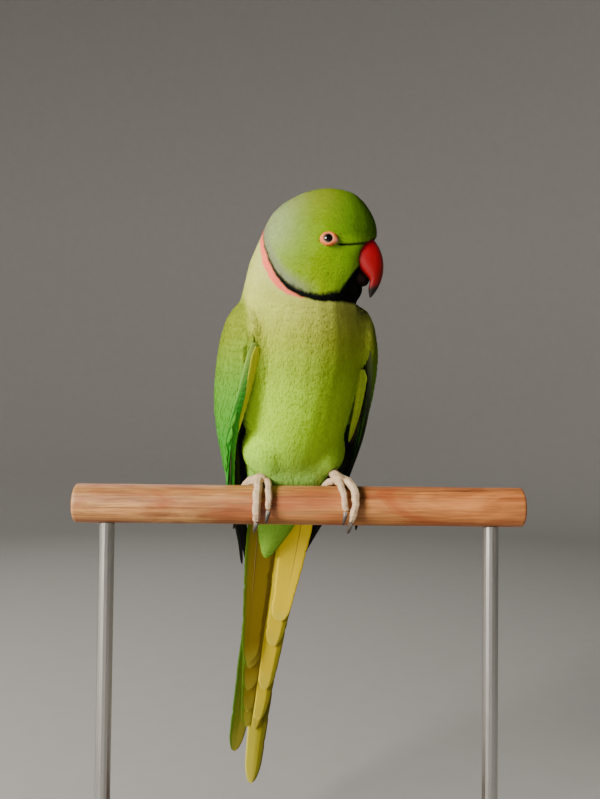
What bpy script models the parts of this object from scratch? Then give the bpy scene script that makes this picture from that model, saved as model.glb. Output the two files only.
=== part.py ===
"""A male rose-ringed parakeet at life size, gripping a cut length of perch on a plain display stand.

The bird stands upright with its tail hanging behind the perch and its head turned to its left.
Lengths are in millimetres until a mesh is made, when MM turns them into metres.

Three frames are used, all with Z up and heights counted from the perch's axis:
- perch frame: X along the perch, Y to the back. The feet, the claws and the perch are made in it.
- bird frame: the perch frame turned by BODY_TURN, so X is the bird's left and -Y the way its breast faces.
- head frame: forward, left and up of the head, which is turned on the neck by HEAD_TURN.
"""

import math

import bmesh
import bpy
import numpy as np
from mathutils import Matrix, Vector

MM = 0.001
GAP = 0.35  # clearance between neighbouring pieces
THIN_CUT = 0.3  # width of the cuts that part the body

# Stand
BASE_SIZE = (224.0, 196.0, 12.0)
BASE_CORNER = 24.0
ROD_RADIUS = 4.0
ROD_SPREAD = 98.0
PERCH_RADIUS = 10.0
PERCH_LENGTH = 228.0
PERCH_HEIGHT = 228.0
PERCH_BACK = -36.0

# Bird
BODY_TURN = math.radians(16.5)
BODY_SHIFT = -0.2
HEAD_TURN = math.radians(61.5)
HEAD_CENTRE = (3.2, -17.0, 130.0)
HEAD_EGG = 0.28  # how much narrower the head is at the face than at the nape
RING_POINTS = 24
RING_LEVELS = 26

# The body's level sections, from the crown down to the tip of the tail coverts:
# height, shift to the left, shift to the back, half length, half width, share of the head's turn
BODY_SECTIONS = (
    (157.8, 9.0, -20.2, 0.3, 0.3, 1.0),
    (156.8, 9.0, -20.2, 8.2, 6.6, 1.0),
    (153.6, 7.6, -19.4, 16.0, 12.1, 1.0),
    (148.0, 5.5, -18.3, 23.0, 16.1, 1.0),
    (142.0, 4.9, -17.9, 26.8, 18.8, 1.0),
    (135.5, 4.6, -17.8, 29.2, 20.2, 1.0),
    (129.0, 2.0, -16.3, 29.2, 20.8, 1.0),
    (121.0, -1.2, -14.6, 28.9, 22.0, 1.0),
    (112.0, -2.4, -12.2, 29.3, 23.8, 0.9),
    (103.0, -3.6, -8.8, 29.4, 27.0, 0.65),
    (94.0, -1.2, -6.0, 30.6, 31.0, 0.3),
    (84.0, 0.3, -3.4, 32.0, 33.0, 0.0),
    (72.0, 1.0, -0.8, 32.6, 31.8, 0.0),
    (58.0, 1.2, 3.4, 31.6, 29.4, 0.0),
    (44.0, 1.3, 8.6, 29.6, 27.2, 0.0),
    (30.0, 1.0, 14.8, 26.0, 25.6, 0.0),
    (17.0, 0.5, 21.2, 20.8, 23.6, 0.0),
    (5.0, 0.0, 27.4, 15.6, 19.6, 0.0),
    (-8.0, -1.4, 35.0, 12.2, 14.4, 0.0),
    (-22.0, -3.3, 42.0, 9.3, 9.1, 0.0),
    (-29.5, -4.2, 46.2, 6.8, 5.8, 0.0),
    (-36.0, -4.8, 50.2, 3.8, 3.0, 0.0),
    (-40.0, -5.1, 52.6, 1.5, 1.2, 0.0),
)
NECK_TOP = 108.0
NECK_BOTTOM = 90.0

# The folded wing's level sections, from the shoulder down to the tip:
# height, reach of the left wing, reach of the right wing, middle to the back, back reach,
# front angle, back angle, thickness
WING_SECTIONS = (
    (103.0, 30.4, 31.0, -3.0, 22.0, -12.0, 12.0, 4.0),
    (97.0, 35.8, 36.8, -2.4, 28.0, -32.0, 34.0, 8.0),
    (87.0, 39.2, 41.0, -2.0, 32.0, -40.0, 56.0, 9.5),
    (76.0, 40.7, 42.8, -0.6, 34.0, -40.0, 66.0, 10.0),
    (64.0, 40.7, 43.4, 2.4, 34.6, -37.0, 72.0, 10.5),
    (50.0, 39.6, 42.8, 7.0, 34.0, -31.0, 76.0, 10.0),
    (36.0, 37.6, 40.0, 12.8, 31.0, -20.0, 78.0, 8.0),
    (22.0, 36.0, 36.0, 19.4, 26.6, -8.0, 78.0, 5.6),
    (8.0, 33.8, 33.0, 26.4, 22.4, -2.0, 74.0, 3.4),
    (-8.0, 27.0, 29.0, 33.0, 18.8, 2.0, 62.0, 2.2),
    (-24.0, 20.8, 24.0, 40.4, 16.6, 8.0, 52.0, 1.6),
    (-39.0, 18.0, 20.6, 48.4, 13.6, 20.0, 38.0, 1.1),
)
WING_LEVELS = 17
WING_ACROSS = 8
WING_COVERT_CUT = ((0.0, 20.0, 30.0), (0.0, -0.50, 1.0))  # a point and the normal of the cut
WING_FLIGHT_CUT = ((0.0, 37.0, 8.0), (0.0, 1.0, 0.46))

# Tail: twelve feathers, the middle pair first and the outermost pair last
TAIL_ROOT = (0.0, 28.2, 12.0)
TAIL_LEAN = 0.438  # how far the tail goes back for each millimetre down
TAIL_LENGTHS_LEFT = (227.0, 180.0, 172.0, 147.0, 113.0, 94.0)
TAIL_LENGTHS_RIGHT = (198.0, 177.0, 164.0, 146.0, 128.0, 123.0)
TAIL_LAYER = 0.95
TAIL_THICKNESS = 0.6
TAIL_STATIONS = (0.0, 0.06, 0.15, 0.40, 0.64, 0.84, 0.93, 0.975, 1.0)
TAIL_TIP = 0.9  # the share of a feather's length at which its tip begins to round
TAIL_ROOF = 150.0  # the tail is curved across like a roof of half this radius

# Bill, eyes and feet
CULMEN_CENTRE = (11.8, -11.6)
CULMEN_RADIUS = 21.2
CULMEN_FROM = math.radians(54.0)
CULMEN_TO = math.radians(-44.0)
EYE_RADIUS = 3.6
EYE_PLACE = (8.4, 15.7, -1.0)
THIGH_CENTRES = {-1: (15.2, 11.0, 29.5), 1: (15.8, 10.6, 28.4)}
THIGH_RADII = (12.8, 15.6, 15.6)
FOOT_PLACES = {"r": -19.8, "l": 20.6}
TOE_RADIUS = 2.3

PALETTE = {
    "plumage": ((0.42, 0.56, 0.10), 0.75, 0.0),
    "wing_green": ((0.20, 0.44, 0.06), 0.65, 0.0),
    "flight_dark": ((0.05, 0.09, 0.03), 0.6, 0.0),
    "tail_yellow": ((0.62, 0.50, 0.06), 0.6, 0.0),
    "bill_red": ((0.62, 0.03, 0.04), 0.3, 0.0),
    "bill_dark": ((0.03, 0.02, 0.02), 0.35, 0.0),
    "eye": ((0.01, 0.01, 0.01), 0.05, 0.0),
    "foot_skin": ((0.66, 0.60, 0.54), 0.7, 0.0),
    "claw": ((0.12, 0.11, 0.11), 0.4, 0.0),
    "perch_wood": ((0.56, 0.32, 0.17), 0.6, 0.0),
    "stand_wood": ((0.22, 0.13, 0.08), 0.5, 0.0),
    "stand_metal": ((0.55, 0.55, 0.54), 0.35, 1.0),
}


# ---------------------------------------------------------------- helpers


def clear_scene():
    for obj in list(bpy.data.objects):
        bpy.data.objects.remove(obj, do_unlink=True)


def material(name):
    """The Principled material of this name, made the first time that it is asked for."""
    found = bpy.data.materials.get(name)
    if found:
        return found
    colour, roughness, metallic = PALETTE[name]
    made = bpy.data.materials.new(name)
    made.use_nodes = True
    shader = made.node_tree.nodes["Principled BSDF"]
    shader.inputs["Base Color"].default_value = (*colour, 1.0)
    shader.inputs["Roughness"].default_value = roughness
    shader.inputs["Metallic"].default_value = metallic
    made.diffuse_color = (*colour, 1.0)
    return made


def make_object(name, bm, finish, parent=None):
    """A smooth-shaded object from a bmesh in millimetres."""
    bmesh.ops.recalc_face_normals(bm, faces=bm.faces)
    bmesh.ops.scale(bm, vec=(MM, MM, MM), verts=bm.verts)
    mesh = bpy.data.meshes.new(name)
    bm.to_mesh(mesh)
    bm.free()
    mesh.shade_smooth()
    mesh.set_sharp_from_angle(angle=math.radians(40))
    mesh.materials.append(material(finish))
    obj = bpy.data.objects.new(name, mesh)
    bpy.context.scene.collection.objects.link(obj)
    obj.parent = parent
    return obj


def loft(rings):
    """A closed bmesh through rings of equal numbers of points, with a flat end at either side."""
    bm = bmesh.new()
    rows = [[bm.verts.new(point) for point in ring] for ring in rings]
    count = len(rows[0])
    for upper, lower in zip(rows, rows[1:]):
        for i in range(count):
            j = (i + 1) % count
            bm.faces.new((upper[i], upper[j], lower[j], lower[i]))
    bm.faces.new(rows[0])
    bm.faces.new(rows[-1])
    return bm


def smooth_columns(table, count):
    """The rows of a table resampled to count rows on smooth curves through its own rows."""
    rows = np.array(table, float)
    places = np.arange(len(rows))
    slopes = np.gradient(rows, axis=0)
    at = np.linspace(0, len(rows) - 1, count)
    low = np.minimum(at.astype(int), len(rows) - 2)
    t = (at - places[low])[:, None]
    h00, h10 = 2 * t**3 - 3 * t**2 + 1, t**3 - 2 * t**2 + t
    h01, h11 = -2 * t**3 + 3 * t**2, t**3 - t**2
    return h00 * rows[low] + h10 * slopes[low] + h01 * rows[low + 1] + h11 * slopes[low + 1]


def tube(points, radii, sides=6):
    """A closed round tube along points, with a radius at each."""
    rings = []
    points = [Vector(p) for p in points]
    across = None
    for k, centre in enumerate(points):
        ahead = (points[min(k + 1, len(points) - 1)] - points[max(k - 1, 0)]).normalized()
        start = across or (Vector((1, 0, 0)) if abs(ahead.x) < 0.8 else Vector((0, 0, 1)))
        across = (start - ahead * start.dot(ahead)).normalized()
        other = ahead.cross(across)
        rings.append(
            [
                centre + radii[k] * (across * math.cos(a) + other * math.sin(a))
                for a in (2 * math.pi * i / sides for i in range(sides))
            ]
        )
    return loft(rings)


def grown_copy(obj, by):
    """A hidden cutter: obj with its surface moved out by this many millimetres."""
    mesh = obj.data.copy()
    bm = bmesh.new()
    bm.from_mesh(mesh)
    bm.normal_update()
    for vert in bm.verts:
        vert.co += vert.normal * by * MM * min(max(vert.calc_shell_factor(), 1.0), 1.4)
    bm.to_mesh(mesh)
    bm.free()
    cutter = bpy.data.objects.new(obj.name + "_cutter", mesh)
    bpy.context.scene.collection.objects.link(cutter)
    cutter.parent = obj.parent
    cutter.hide_render = True
    cutter.display_type = "WIRE"
    return cutter


def combine(obj, other, operation="DIFFERENCE"):
    """An exact Boolean of obj with other, applied at once. other is then removed."""
    bpy.context.view_layer.update()
    modifier = obj.modifiers.new("combine", "BOOLEAN")
    modifier.operation = operation
    modifier.solver = "EXACT"
    modifier.object = other
    bpy.context.view_layer.update()
    graph = bpy.context.evaluated_depsgraph_get()
    result = bpy.data.meshes.new_from_object(obj.evaluated_get(graph))
    obj.modifiers.clear()
    obj.data = result
    bpy.data.objects.remove(other, do_unlink=True)
    return obj


def cut_around(obj, *neighbours, by=GAP):
    for neighbour in neighbours:
        combine(obj, grown_copy(neighbour, by))
    return obj


def cut_out(obj, cutters, parent):
    """Cut obj by each of a list of closed bmeshes, made already with their clearance."""
    for bm in cutters:
        cutter = make_object("cutter", bm, "plumage", parent)
        cutter.hide_render = True
        cutter.display_type = "WIRE"
        combine(obj, cutter)
    return obj


def tidy_piece(obj):
    """Keep a cut piece's largest island, and merge points that the cuts left almost together."""
    bm = bmesh.new()
    bm.from_mesh(obj.data)
    bmesh.ops.remove_doubles(bm, verts=bm.verts, dist=0.05 * MM)
    bmesh.ops.dissolve_degenerate(bm, edges=bm.edges, dist=0.02 * MM)
    left, islands = set(bm.verts), []
    while left:
        front, island = [left.pop()], []
        while front:
            vert = front.pop()
            island.append(vert)
            near = {edge.other_vert(vert) for edge in vert.link_edges} & left
            left -= near
            front.extend(near)
        islands.append(island)
    islands.sort(key=len)
    for island in islands[:-1]:
        bmesh.ops.delete(bm, geom=island, context="VERTS")
    bm.to_mesh(obj.data)
    bm.free()


def part_above(bm, point, normal, shift=0.0):
    """What of a closed bmesh lies on the normal's side of a plane, closed again. bm is kept."""
    kept = bm.copy()
    normal = Vector(normal).normalized()
    cut = bmesh.ops.bisect_plane(
        kept,
        geom=kept.verts[:] + kept.edges[:] + kept.faces[:],
        plane_co=Vector(point) + normal * shift,
        plane_no=normal,
        clear_inner=True,
    )
    rim = [e for e in cut["geom_cut"] if isinstance(e, bmesh.types.BMEdge)]
    bmesh.ops.holes_fill(kept, edges=rim, sides=0)
    return kept


# ---------------------------------------------------------------- frames


def bird_frame():
    """The empty that carries what is made in the bird frame."""
    frame = bpy.data.objects.new("bird_frame", None)
    frame.location = Vector((BODY_SHIFT, PERCH_BACK, PERCH_HEIGHT)) * MM
    frame.rotation_euler.z = BODY_TURN
    bpy.context.scene.collection.objects.link(frame)
    return frame


def perch_frame():
    """The empty that carries what is made in the perch frame."""
    frame = bpy.data.objects.new("perch_frame", None)
    frame.location = Vector((0.0, PERCH_BACK, PERCH_HEIGHT)) * MM
    bpy.context.scene.collection.objects.link(frame)
    return frame


def from_head(forward, left, up):
    """A point of the head frame, in the bird frame."""
    sine, cosine = math.sin(HEAD_TURN), math.cos(HEAD_TURN)
    x, y, z = HEAD_CENTRE
    return Vector((x + forward * sine + left * cosine, y - forward * cosine + left * sine, z + up))


# ---------------------------------------------------------------- head, neck and trunk


def body_ring(row, extra=0.0):
    """One level section: an ellipse that is a little egg-shaped where it belongs to the head."""
    height, left, back, half_length, half_width, share = row
    half_length, half_width = half_length + extra, half_width + extra
    turn = share * HEAD_TURN
    sine, cosine = math.sin(turn), math.cos(turn)
    ring = []
    for i in range(RING_POINTS):
        angle = 2 * math.pi * i / RING_POINTS - turn  # so that the points don't spiral as it turns
        forward = half_length * math.cos(angle)
        aside = half_width * math.sin(angle) * (1 - HEAD_EGG * share * math.cos(angle))
        ring.append(
            (left + forward * sine + aside * cosine, back - forward * cosine + aside * sine, height)
        )
    return ring


def body_whole(extra=0.0):
    """Head, neck and trunk as one closed form, or a cutter that is larger than it by extra."""
    return loft([body_ring(row, extra) for row in smooth_columns(BODY_SECTIONS, RING_LEVELS)])


def make_body(bird):
    """Head, neck and trunk, modelled whole and parted by two level cuts."""
    whole = body_whole()
    bmesh.ops.recalc_face_normals(whole, faces=whole.faces)
    half = THIN_CUT / 2
    up, down = (0, 0, 1), (0, 0, -1)
    head = part_above(whole, (0, 0, NECK_TOP), up, half)
    below = part_above(whole, (0, 0, NECK_TOP), down, half)
    neck = part_above(below, (0, 0, NECK_BOTTOM), up, half)
    trunk = part_above(below, (0, 0, NECK_BOTTOM), down, half)
    whole.free()
    below.free()
    return (
        make_object("head", head, "plumage", bird),
        make_object("neck", neck, "plumage", bird),
        make_object("trunk", trunk, "plumage", bird),
    )


def thigh_form(side, extra=0.0):
    """The feathered thigh, a rounded form low on the belly."""
    bm = bmesh.new()
    x, y, z = THIGH_CENTRES[side]
    bmesh.ops.create_uvsphere(bm, u_segments=14, v_segments=9, radius=1.0)
    bmesh.ops.scale(bm, vec=[radius + extra for radius in THIGH_RADII], verts=bm.verts)
    bmesh.ops.translate(bm, vec=(side * x, y, z), verts=bm.verts)
    return bm


# ---------------------------------------------------------------- bill and eyes


def bill_ring(top, bottom, width, ridge):
    """A section of the bill between two points of the head's middle plane: wide below, ridged above."""
    ring = []
    for i in range(12):
        angle = 2 * math.pi * i / 12
        along = 0.5 - 0.5 * math.cos(angle)
        forward, up = (b + (t - b) * along for t, b in zip(top, bottom))
        ring.append(from_head(forward, 0.5 * width * math.sin(angle) * (1 - ridge * along), up))
    return ring


def make_upper_bill(bird):
    """The hooked upper bill: its ridge is an arc, its cutting edge runs in to a notch and the hook."""
    edge = ((15, -3), (17, -8), (20.4, -12.4), (23.8, -15.6), (26.2, -18.4), (25.7, -22.4), (26.3, -26.5))
    widths = (14.0, 14.2, 13.0, 10.8, 8.0, 4.8, 1.0)
    outline = [(*point, width) for point, width in zip(edge, widths)]
    rings = []
    levels = smooth_columns(outline, 11)
    for k, (forward, up, width) in enumerate(levels):
        angle = CULMEN_FROM + (CULMEN_TO - CULMEN_FROM) * k / (len(levels) - 1)
        ridge_point = (
            CULMEN_CENTRE[0] + CULMEN_RADIUS * math.cos(angle),
            CULMEN_CENTRE[1] + CULMEN_RADIUS * math.sin(angle),
        )
        rings.append(bill_ring(ridge_point, (forward, up), width, 0.35))
    return make_object("upper_bill", loft(rings), "bill_red", bird)


def make_lower_bill(bird):
    """The short scoop of the lower bill, tucked up behind the hook."""
    sections = (
        (14.0, -9.0, 14.0, -19.0, 10.6),
        (18.6, -11.8, 18.6, -21.2, 10.6),
        (21.8, -15.0, 21.8, -21.6, 9.4),
        (24.2, -17.6, 24.4, -20.8, 6.6),
        (25.4, -18.6, 25.6, -19.4, 2.6),
    )
    rings = [
        bill_ring((f0, u0), (f1, u1), width, -0.2)
        for f0, u0, f1, u1, width in smooth_columns(sections, 8)
    ]
    return make_object("lower_bill", loft(rings), "bill_dark", bird)


def make_eye(name, side, bird):
    forward, left, up = EYE_PLACE
    bm = bmesh.new()
    bmesh.ops.create_uvsphere(bm, u_segments=12, v_segments=8, radius=EYE_RADIUS)
    bmesh.ops.translate(bm, vec=from_head(forward, side * left, up), verts=bm.verts)
    return make_object(name, bm, "eye", bird)


# ---------------------------------------------------------------- wings


def wing_ring(row, side):
    """A level section of the folded wing: a curved plate that wraps the side and back of the body."""
    height, reach_left, reach_right, middle, back_reach, front_angle, back_angle, thickness = row
    reach = reach_left if side > 0 else reach_right
    outer, inner = [], []
    for i in range(WING_ACROSS):
        share = i / (WING_ACROSS - 1)
        angle = math.radians(front_angle + (back_angle - front_angle) * share)
        depth = max(0.7, thickness * math.sin(math.pi * (0.06 + 0.88 * share)) ** 0.7)
        for points, inset in ((outer, 0.0), (inner, depth)):
            points.append(
                (
                    side * (reach - inset) * math.cos(angle),
                    middle + (back_reach - inset) * math.sin(angle),
                    height,
                )
            )
    return outer + inner[::-1]


def make_wing(side_name, side, bird):
    """A folded wing in three pieces: the coverts over the arm, the inner and the outer flight feathers."""
    whole = loft([wing_ring(row, side) for row in smooth_columns(WING_SECTIONS, WING_LEVELS)])
    bmesh.ops.recalc_face_normals(whole, faces=whole.faces)
    half = THIN_CUT / 2
    point, normal = WING_COVERT_CUT
    opposite = tuple(-n for n in normal)
    coverts = part_above(whole, point, normal, half)
    flight = part_above(whole, point, opposite, half)
    point, normal = WING_FLIGHT_CUT
    opposite = tuple(-n for n in normal)
    inner = part_above(flight, point, normal, half)
    outer = part_above(flight, point, opposite, half)
    whole.free()
    flight.free()
    return [
        make_object(f"wing_{side_name}_coverts", coverts, "wing_green", bird),
        make_object(f"wing_{side_name}_secondaries", inner, "wing_green", bird),
        make_object(f"wing_{side_name}_primaries", outer, "flight_dark", bird),
    ]


# ---------------------------------------------------------------- tail


def tail_point(along, left, layer):
    """A point of the tail in the bird frame: down the tail, to the bird's left, and towards its back."""
    steep = math.hypot(1.0, TAIL_LEAN)
    back, down = TAIL_LEAN / steep, 1.0 / steep
    layer -= left * left / TAIL_ROOF
    x, y, z = TAIL_ROOT
    return (x + left, y + along * back + layer * down, z - along * down + layer * back)


def vane_share(t):
    """How wide a tail feather is at a share t of its length: narrow at the quill, then full, then a
    slow taper to a round tip."""
    rise = 0.30 + 0.70 * math.sin(min(t / 0.12, 1.0) * math.pi / 2) ** 1.5
    taper = 1.0 - 0.42 * max(0.0, t - 0.35) / 0.65
    tip = math.sqrt(max(0.0, 1.0 - (max(0.0, t - TAIL_TIP) / (1 - TAIL_TIP)) ** 2))
    return max(rise * taper * tip, 0.08)


def tail_feather(rank, side, length, layer, thickness):
    """One tail feather as a thin plate. rank 0 is in the middle of the tail and 5 on its outside."""
    outer_vane = 8.6 - 0.4 * rank
    inner_vane = 8.6 + 0.5 * rank
    rings = []
    for t in TAIL_STATIONS:
        along = length * t
        spread = (2.0 + 2.1 * rank) * min(1.0, 0.35 + along / 30.0) * (1 - 0.35 * t * t)
        if rank == 0:
            spread = 2.0 + 3.2 * t if side > 0 else 2.6 + 5.8 * t
        outside = spread + outer_vane * vane_share(t)
        inside = spread - inner_vane * vane_share(t)
        if rank > 0:
            inside = max(inside, GAP / 2)
        across = [inside + (outside - inside) * i / 3 for i in range(4)]
        top = [tail_point(along, side * x, layer + thickness / 2) for x in across]
        bottom = [tail_point(along, side * x, layer - thickness / 2) for x in across]
        rings.append(top + bottom[::-1])
    return loft(rings)


def make_tail(bird):
    """Twelve feathers in seven layers. The middle pair cross, so each has a layer of its own."""
    feathers = []
    for side_name, side, lengths in (("l", 1, TAIL_LENGTHS_LEFT), ("r", -1, TAIL_LENGTHS_RIGHT)):
        for rank, length in enumerate(lengths):
            depth = rank + 1 if rank else (1 if side > 0 else 0)
            layer = (3 - depth) * TAIL_LAYER
            bm = tail_feather(rank, side, length, layer, TAIL_THICKNESS)
            name = f"tail_{side_name}_{rank + 1}"
            feathers.append(make_object(name, bm, "tail_yellow", bird))
    return feathers


def tail_slot(bird):
    """The cutter that makes room for the whole tail between the upper and the under tail coverts."""
    half_thick = 3 * TAIL_LAYER + TAIL_THICKNESS / 2 + GAP
    rings = []
    for along, half_wide in ((-1.0, 13.0), (12.0, 18.0), (30.0, 21.6), (80.0, 23.0)):
        across = [half_wide * (i / 4 - 1) for i in range(9)]
        top = [tail_point(along, x, half_thick) for x in across]
        bottom = [tail_point(along, x, -half_thick) for x in across]
        rings.append(top + bottom[::-1])
    slot = make_object("tail_slot", loft(rings), "plumage", bird)
    slot.hide_render = True
    slot.display_type = "WIRE"
    return slot


# ---------------------------------------------------------------- feet


def round_perch(across, degrees, height):
    """A point by its place along the perch, its angle round it (90 on top, 0 in front) and its height off it."""
    angle = math.radians(degrees)
    reach = PERCH_RADIUS + height
    return (across, -reach * math.cos(angle), reach * math.sin(angle))


def toe_path(across_from, across_to, bow, degrees_from, degrees_to, radii):
    """Points of a toe that wraps the perch, resting on it."""
    count = len(radii)
    path = []
    for k, radius in enumerate(radii):
        t = k / (count - 1)
        across = across_from + (across_to - across_from) * t + bow * math.sin(math.pi * t)
        degrees = degrees_from + (degrees_to - degrees_from) * t
        path.append(round_perch(across, degrees, radius + GAP))
    return path


# Each toe: where it starts and ends along the perch from the foot's middle, how far it bows that way,
# its first and last angle round the perch, and the angle that its claw's tip reaches.
TOES = {
    "r": (
        ("front_long", -0.6, -1.3, 0.0, 92.0, -34.0, -64.0),
        ("front_short", 3.4, 4.8, 0.6, 88.0, -4.0, -32.0),
        ("back_long", -2.6, -12.6, -2.6, 98.0, 204.0, 244.0),
        ("back_short", 2.2, 4.6, 0.8, 98.0, 178.0, 212.0),
    ),
    "l": (
        ("front_long", 2.8, 5.4, 3.6, 90.0, -32.0, -66.0),
        ("front_short", -1.0, 2.8, 0.4, 90.0, -6.0, -34.0),
        ("back_long", 3.0, 10.5, 1.6, 98.0, 204.0, 244.0),
        ("back_short", -2.8, -9.4, -2.0, 98.0, 178.0, 212.0),
    ),
}
CLAW_RADII = (1.3, 1.2, 1.0, 0.7, 0.35)
CLAW_RISES = (0.2, 1.1, 2.1, 3.0, 3.6)


def shank_form(side_name, extra=0.0):
    middle = FOOT_PLACES[side_name]
    outward = -1 if side_name == "r" else 1
    top = PERCH_RADIUS + TOE_RADIUS + GAP
    path = (
        (middle, 1.0, top + 0.6),
        (middle - 2.5 * outward, 7.5, top + 2.8),
        (middle - 5.5 * outward, 14.5, top + 7.5 + extra),
    )
    return tube(path, [radius + extra for radius in (3.0, 2.6, 2.9)], 8)


def pad_form(side_name, extra=0.0):
    pad = bmesh.new()
    bmesh.ops.create_uvsphere(pad, u_segments=10, v_segments=6, radius=1.0)
    bmesh.ops.scale(pad, vec=(4.3 + extra, 4.0 + extra, 2.6 + extra), verts=pad.verts)
    place = (FOOT_PLACES[side_name], 0.0, PERCH_RADIUS + TOE_RADIUS + GAP + 0.7)
    bmesh.ops.translate(pad, vec=place, verts=pad.verts)
    return pad


def toe_forms(side_name, extra=0.0):
    middle = FOOT_PLACES[side_name]
    forms = []
    for name, start, end, bow, first, last, _ in TOES[side_name]:
        thick = TOE_RADIUS if "long" in name else TOE_RADIUS - 0.4
        radii = [thick * share for share in (1.0, 1.04, 0.94, 1.0, 0.88, 0.92, 0.8)]
        path = toe_path(middle + start, middle + end, bow, first, last, radii)
        forms.append(tube(path, [radius + extra for radius in radii]))
    return forms


def claw_forms(side_name, extra=0.0):
    """The four claws, which go on from the toes and stand a little off the perch."""
    middle = FOOT_PLACES[side_name]
    forms = []
    for _, _, end, _, first, last, claw_last in TOES[side_name]:
        near = last + math.copysign(4.5, last - first)
        radii = [radius + GAP for radius in CLAW_RADII]
        path = toe_path(middle + end, middle + end - 1.4, 0.0, near, claw_last, radii)
        raised = []
        for (x, y, z), rise in zip(path, CLAW_RISES):
            off = 1 + rise / math.hypot(y, z)
            raised.append((x, y * off, z * off))
        forms.append(tube(raised, [radius + extra for radius in CLAW_RADII], 6))
    return forms


def make_foot(side_name, perch_empty):
    """Shank, pad and four toes as one solid, and its four claws."""
    foot = make_object(f"foot_{side_name}", shank_form(side_name), "foot_skin", perch_empty)
    for form in [pad_form(side_name)] + toe_forms(side_name):
        combine(foot, make_object("piece", form, "foot_skin", perch_empty), "UNION")
    cut_out(foot, claw_forms(side_name, 0.3), perch_empty)
    for (name, *_), form in zip(TOES[side_name], claw_forms(side_name)):
        make_object(f"claw_{side_name}_{name}", form, "claw", perch_empty)
    return foot


def foot_cutters(side_name):
    """What the plumage is cut by, so that it stays clear of a foot and of the perch."""
    return [
        perch_form(GAP),
        shank_form(side_name, GAP),
        pad_form(side_name, GAP),
        *toe_forms(side_name, GAP),
    ]


# ---------------------------------------------------------------- stand


def perch_form(extra=0.0):
    """The cut length of round perch, with softened ends."""
    half = PERCH_LENGTH / 2
    soft = 1.2
    rings = []
    for x, inset in ((-half, soft), (-half + soft, 0), (half - soft, 0), (half, soft)):
        radius = PERCH_RADIUS - inset + extra
        rings.append(
            [
                (x, radius * math.cos(a), radius * math.sin(a))
                for a in (2 * math.pi * i / 30 for i in range(30))
            ]
        )
    return loft(rings)


def make_base():
    """The flat base, with round corners and a softened top edge."""
    width, depth, height = BASE_SIZE
    outline = []
    for turn in range(4):
        sx, sy = ((1, 1), (-1, 1), (-1, -1), (1, -1))[turn]
        for step in range(7):
            angle = math.radians(90 * turn + 15 * step)
            outline.append(
                (
                    sx * (width / 2 - BASE_CORNER) + BASE_CORNER * math.cos(angle),
                    sy * (depth / 2 - BASE_CORNER) + BASE_CORNER * math.sin(angle),
                )
            )
    rings = []
    for z, inset in ((0.0, 0.0), (height - 2.0, 0.0), (height - 0.6, 0.6), (height, 2.0)):
        rings.append(
            [(x * (1 - 2 * inset / width), y * (1 - 2 * inset / depth), z) for x, y in outline]
        )
    return make_object("stand_base", loft(rings), "stand_wood")


def make_rod(name, side):
    """An upright with a round foot flange, turned in one, that ends under the perch."""
    bottom = BASE_SIZE[2] + 0.3
    profile = (
        (11.0, bottom),
        (11.0, bottom + 2.0),
        (10.0, bottom + 3.0),
        (ROD_RADIUS + 1.2, bottom + 3.6),
        (ROD_RADIUS, bottom + 5.0),
        (ROD_RADIUS, PERCH_HEIGHT - PERCH_RADIUS + 3.0),
    )
    rings = []
    for radius, z in profile:
        rings.append(
            [
                (side * ROD_SPREAD + radius * math.cos(a), PERCH_BACK + radius * math.sin(a), z)
                for a in (2 * math.pi * i / 16 for i in range(16))
            ]
        )
    return make_object(name, loft(rings), "stand_metal")


# ---------------------------------------------------------------- assembly


def make_parakeet(bird, perch_empty):
    head, neck, trunk = make_body(bird)
    upper_bill, lower_bill = make_upper_bill(bird), make_lower_bill(bird)
    cut_around(lower_bill, upper_bill)
    cut_around(head, upper_bill, lower_bill)
    for side_name, side in (("l", 1), ("r", -1)):
        eye = make_eye(f"eye_{side_name}", side, bird)
        cut_around(head, eye, by=0.3)
    make_tail(bird)
    combine(trunk, tail_slot(bird))
    for side_name, side in (("l", 1), ("r", -1)):
        make_foot(side_name, perch_empty)
        thigh = make_object(f"thigh_{side_name}", thigh_form(side), "plumage", bird)
        cut_out(thigh, foot_cutters(side_name), perch_empty)
        cut_out(trunk, foot_cutters(side_name), perch_empty)
        cut_out(trunk, [thigh_form(side, GAP)], bird)
        for piece in make_wing(side_name, side, bird):
            cut_out(piece, [body_whole(GAP + 0.1), thigh_form(side, GAP + 0.1)], bird)
            tidy_piece(piece)


def main():
    clear_scene()
    bird, perch_empty = bird_frame(), perch_frame()
    bpy.context.view_layer.update()
    perch = make_object("perch", perch_form(), "perch_wood", perch_empty)
    make_base()
    for name, side in (("stand_rod_l", 1), ("stand_rod_r", -1)):
        cut_around(make_rod(name, side), perch)
    make_parakeet(bird, perch_empty)


main()
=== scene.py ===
"""The looks of a life-size rose-ringed parakeet on a perch: skin, feathers, bill, eyes, feet and stand.

Lengths are in millimetres until a mesh is made. Places are given in three frames:
- row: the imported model's own, Z up, with its origin under the stand.
- bird: X to the bird's left, -Y the way its breast faces, heights counted from the perch's axis.
- head: forward, left and up from the middle of the head.
"""

import math

import bmesh
import bpy
import numpy as np
from mathutils import Matrix, Vector
from mathutils.bvhtree import BVHTree
from mathutils.kdtree import KDTree


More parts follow.
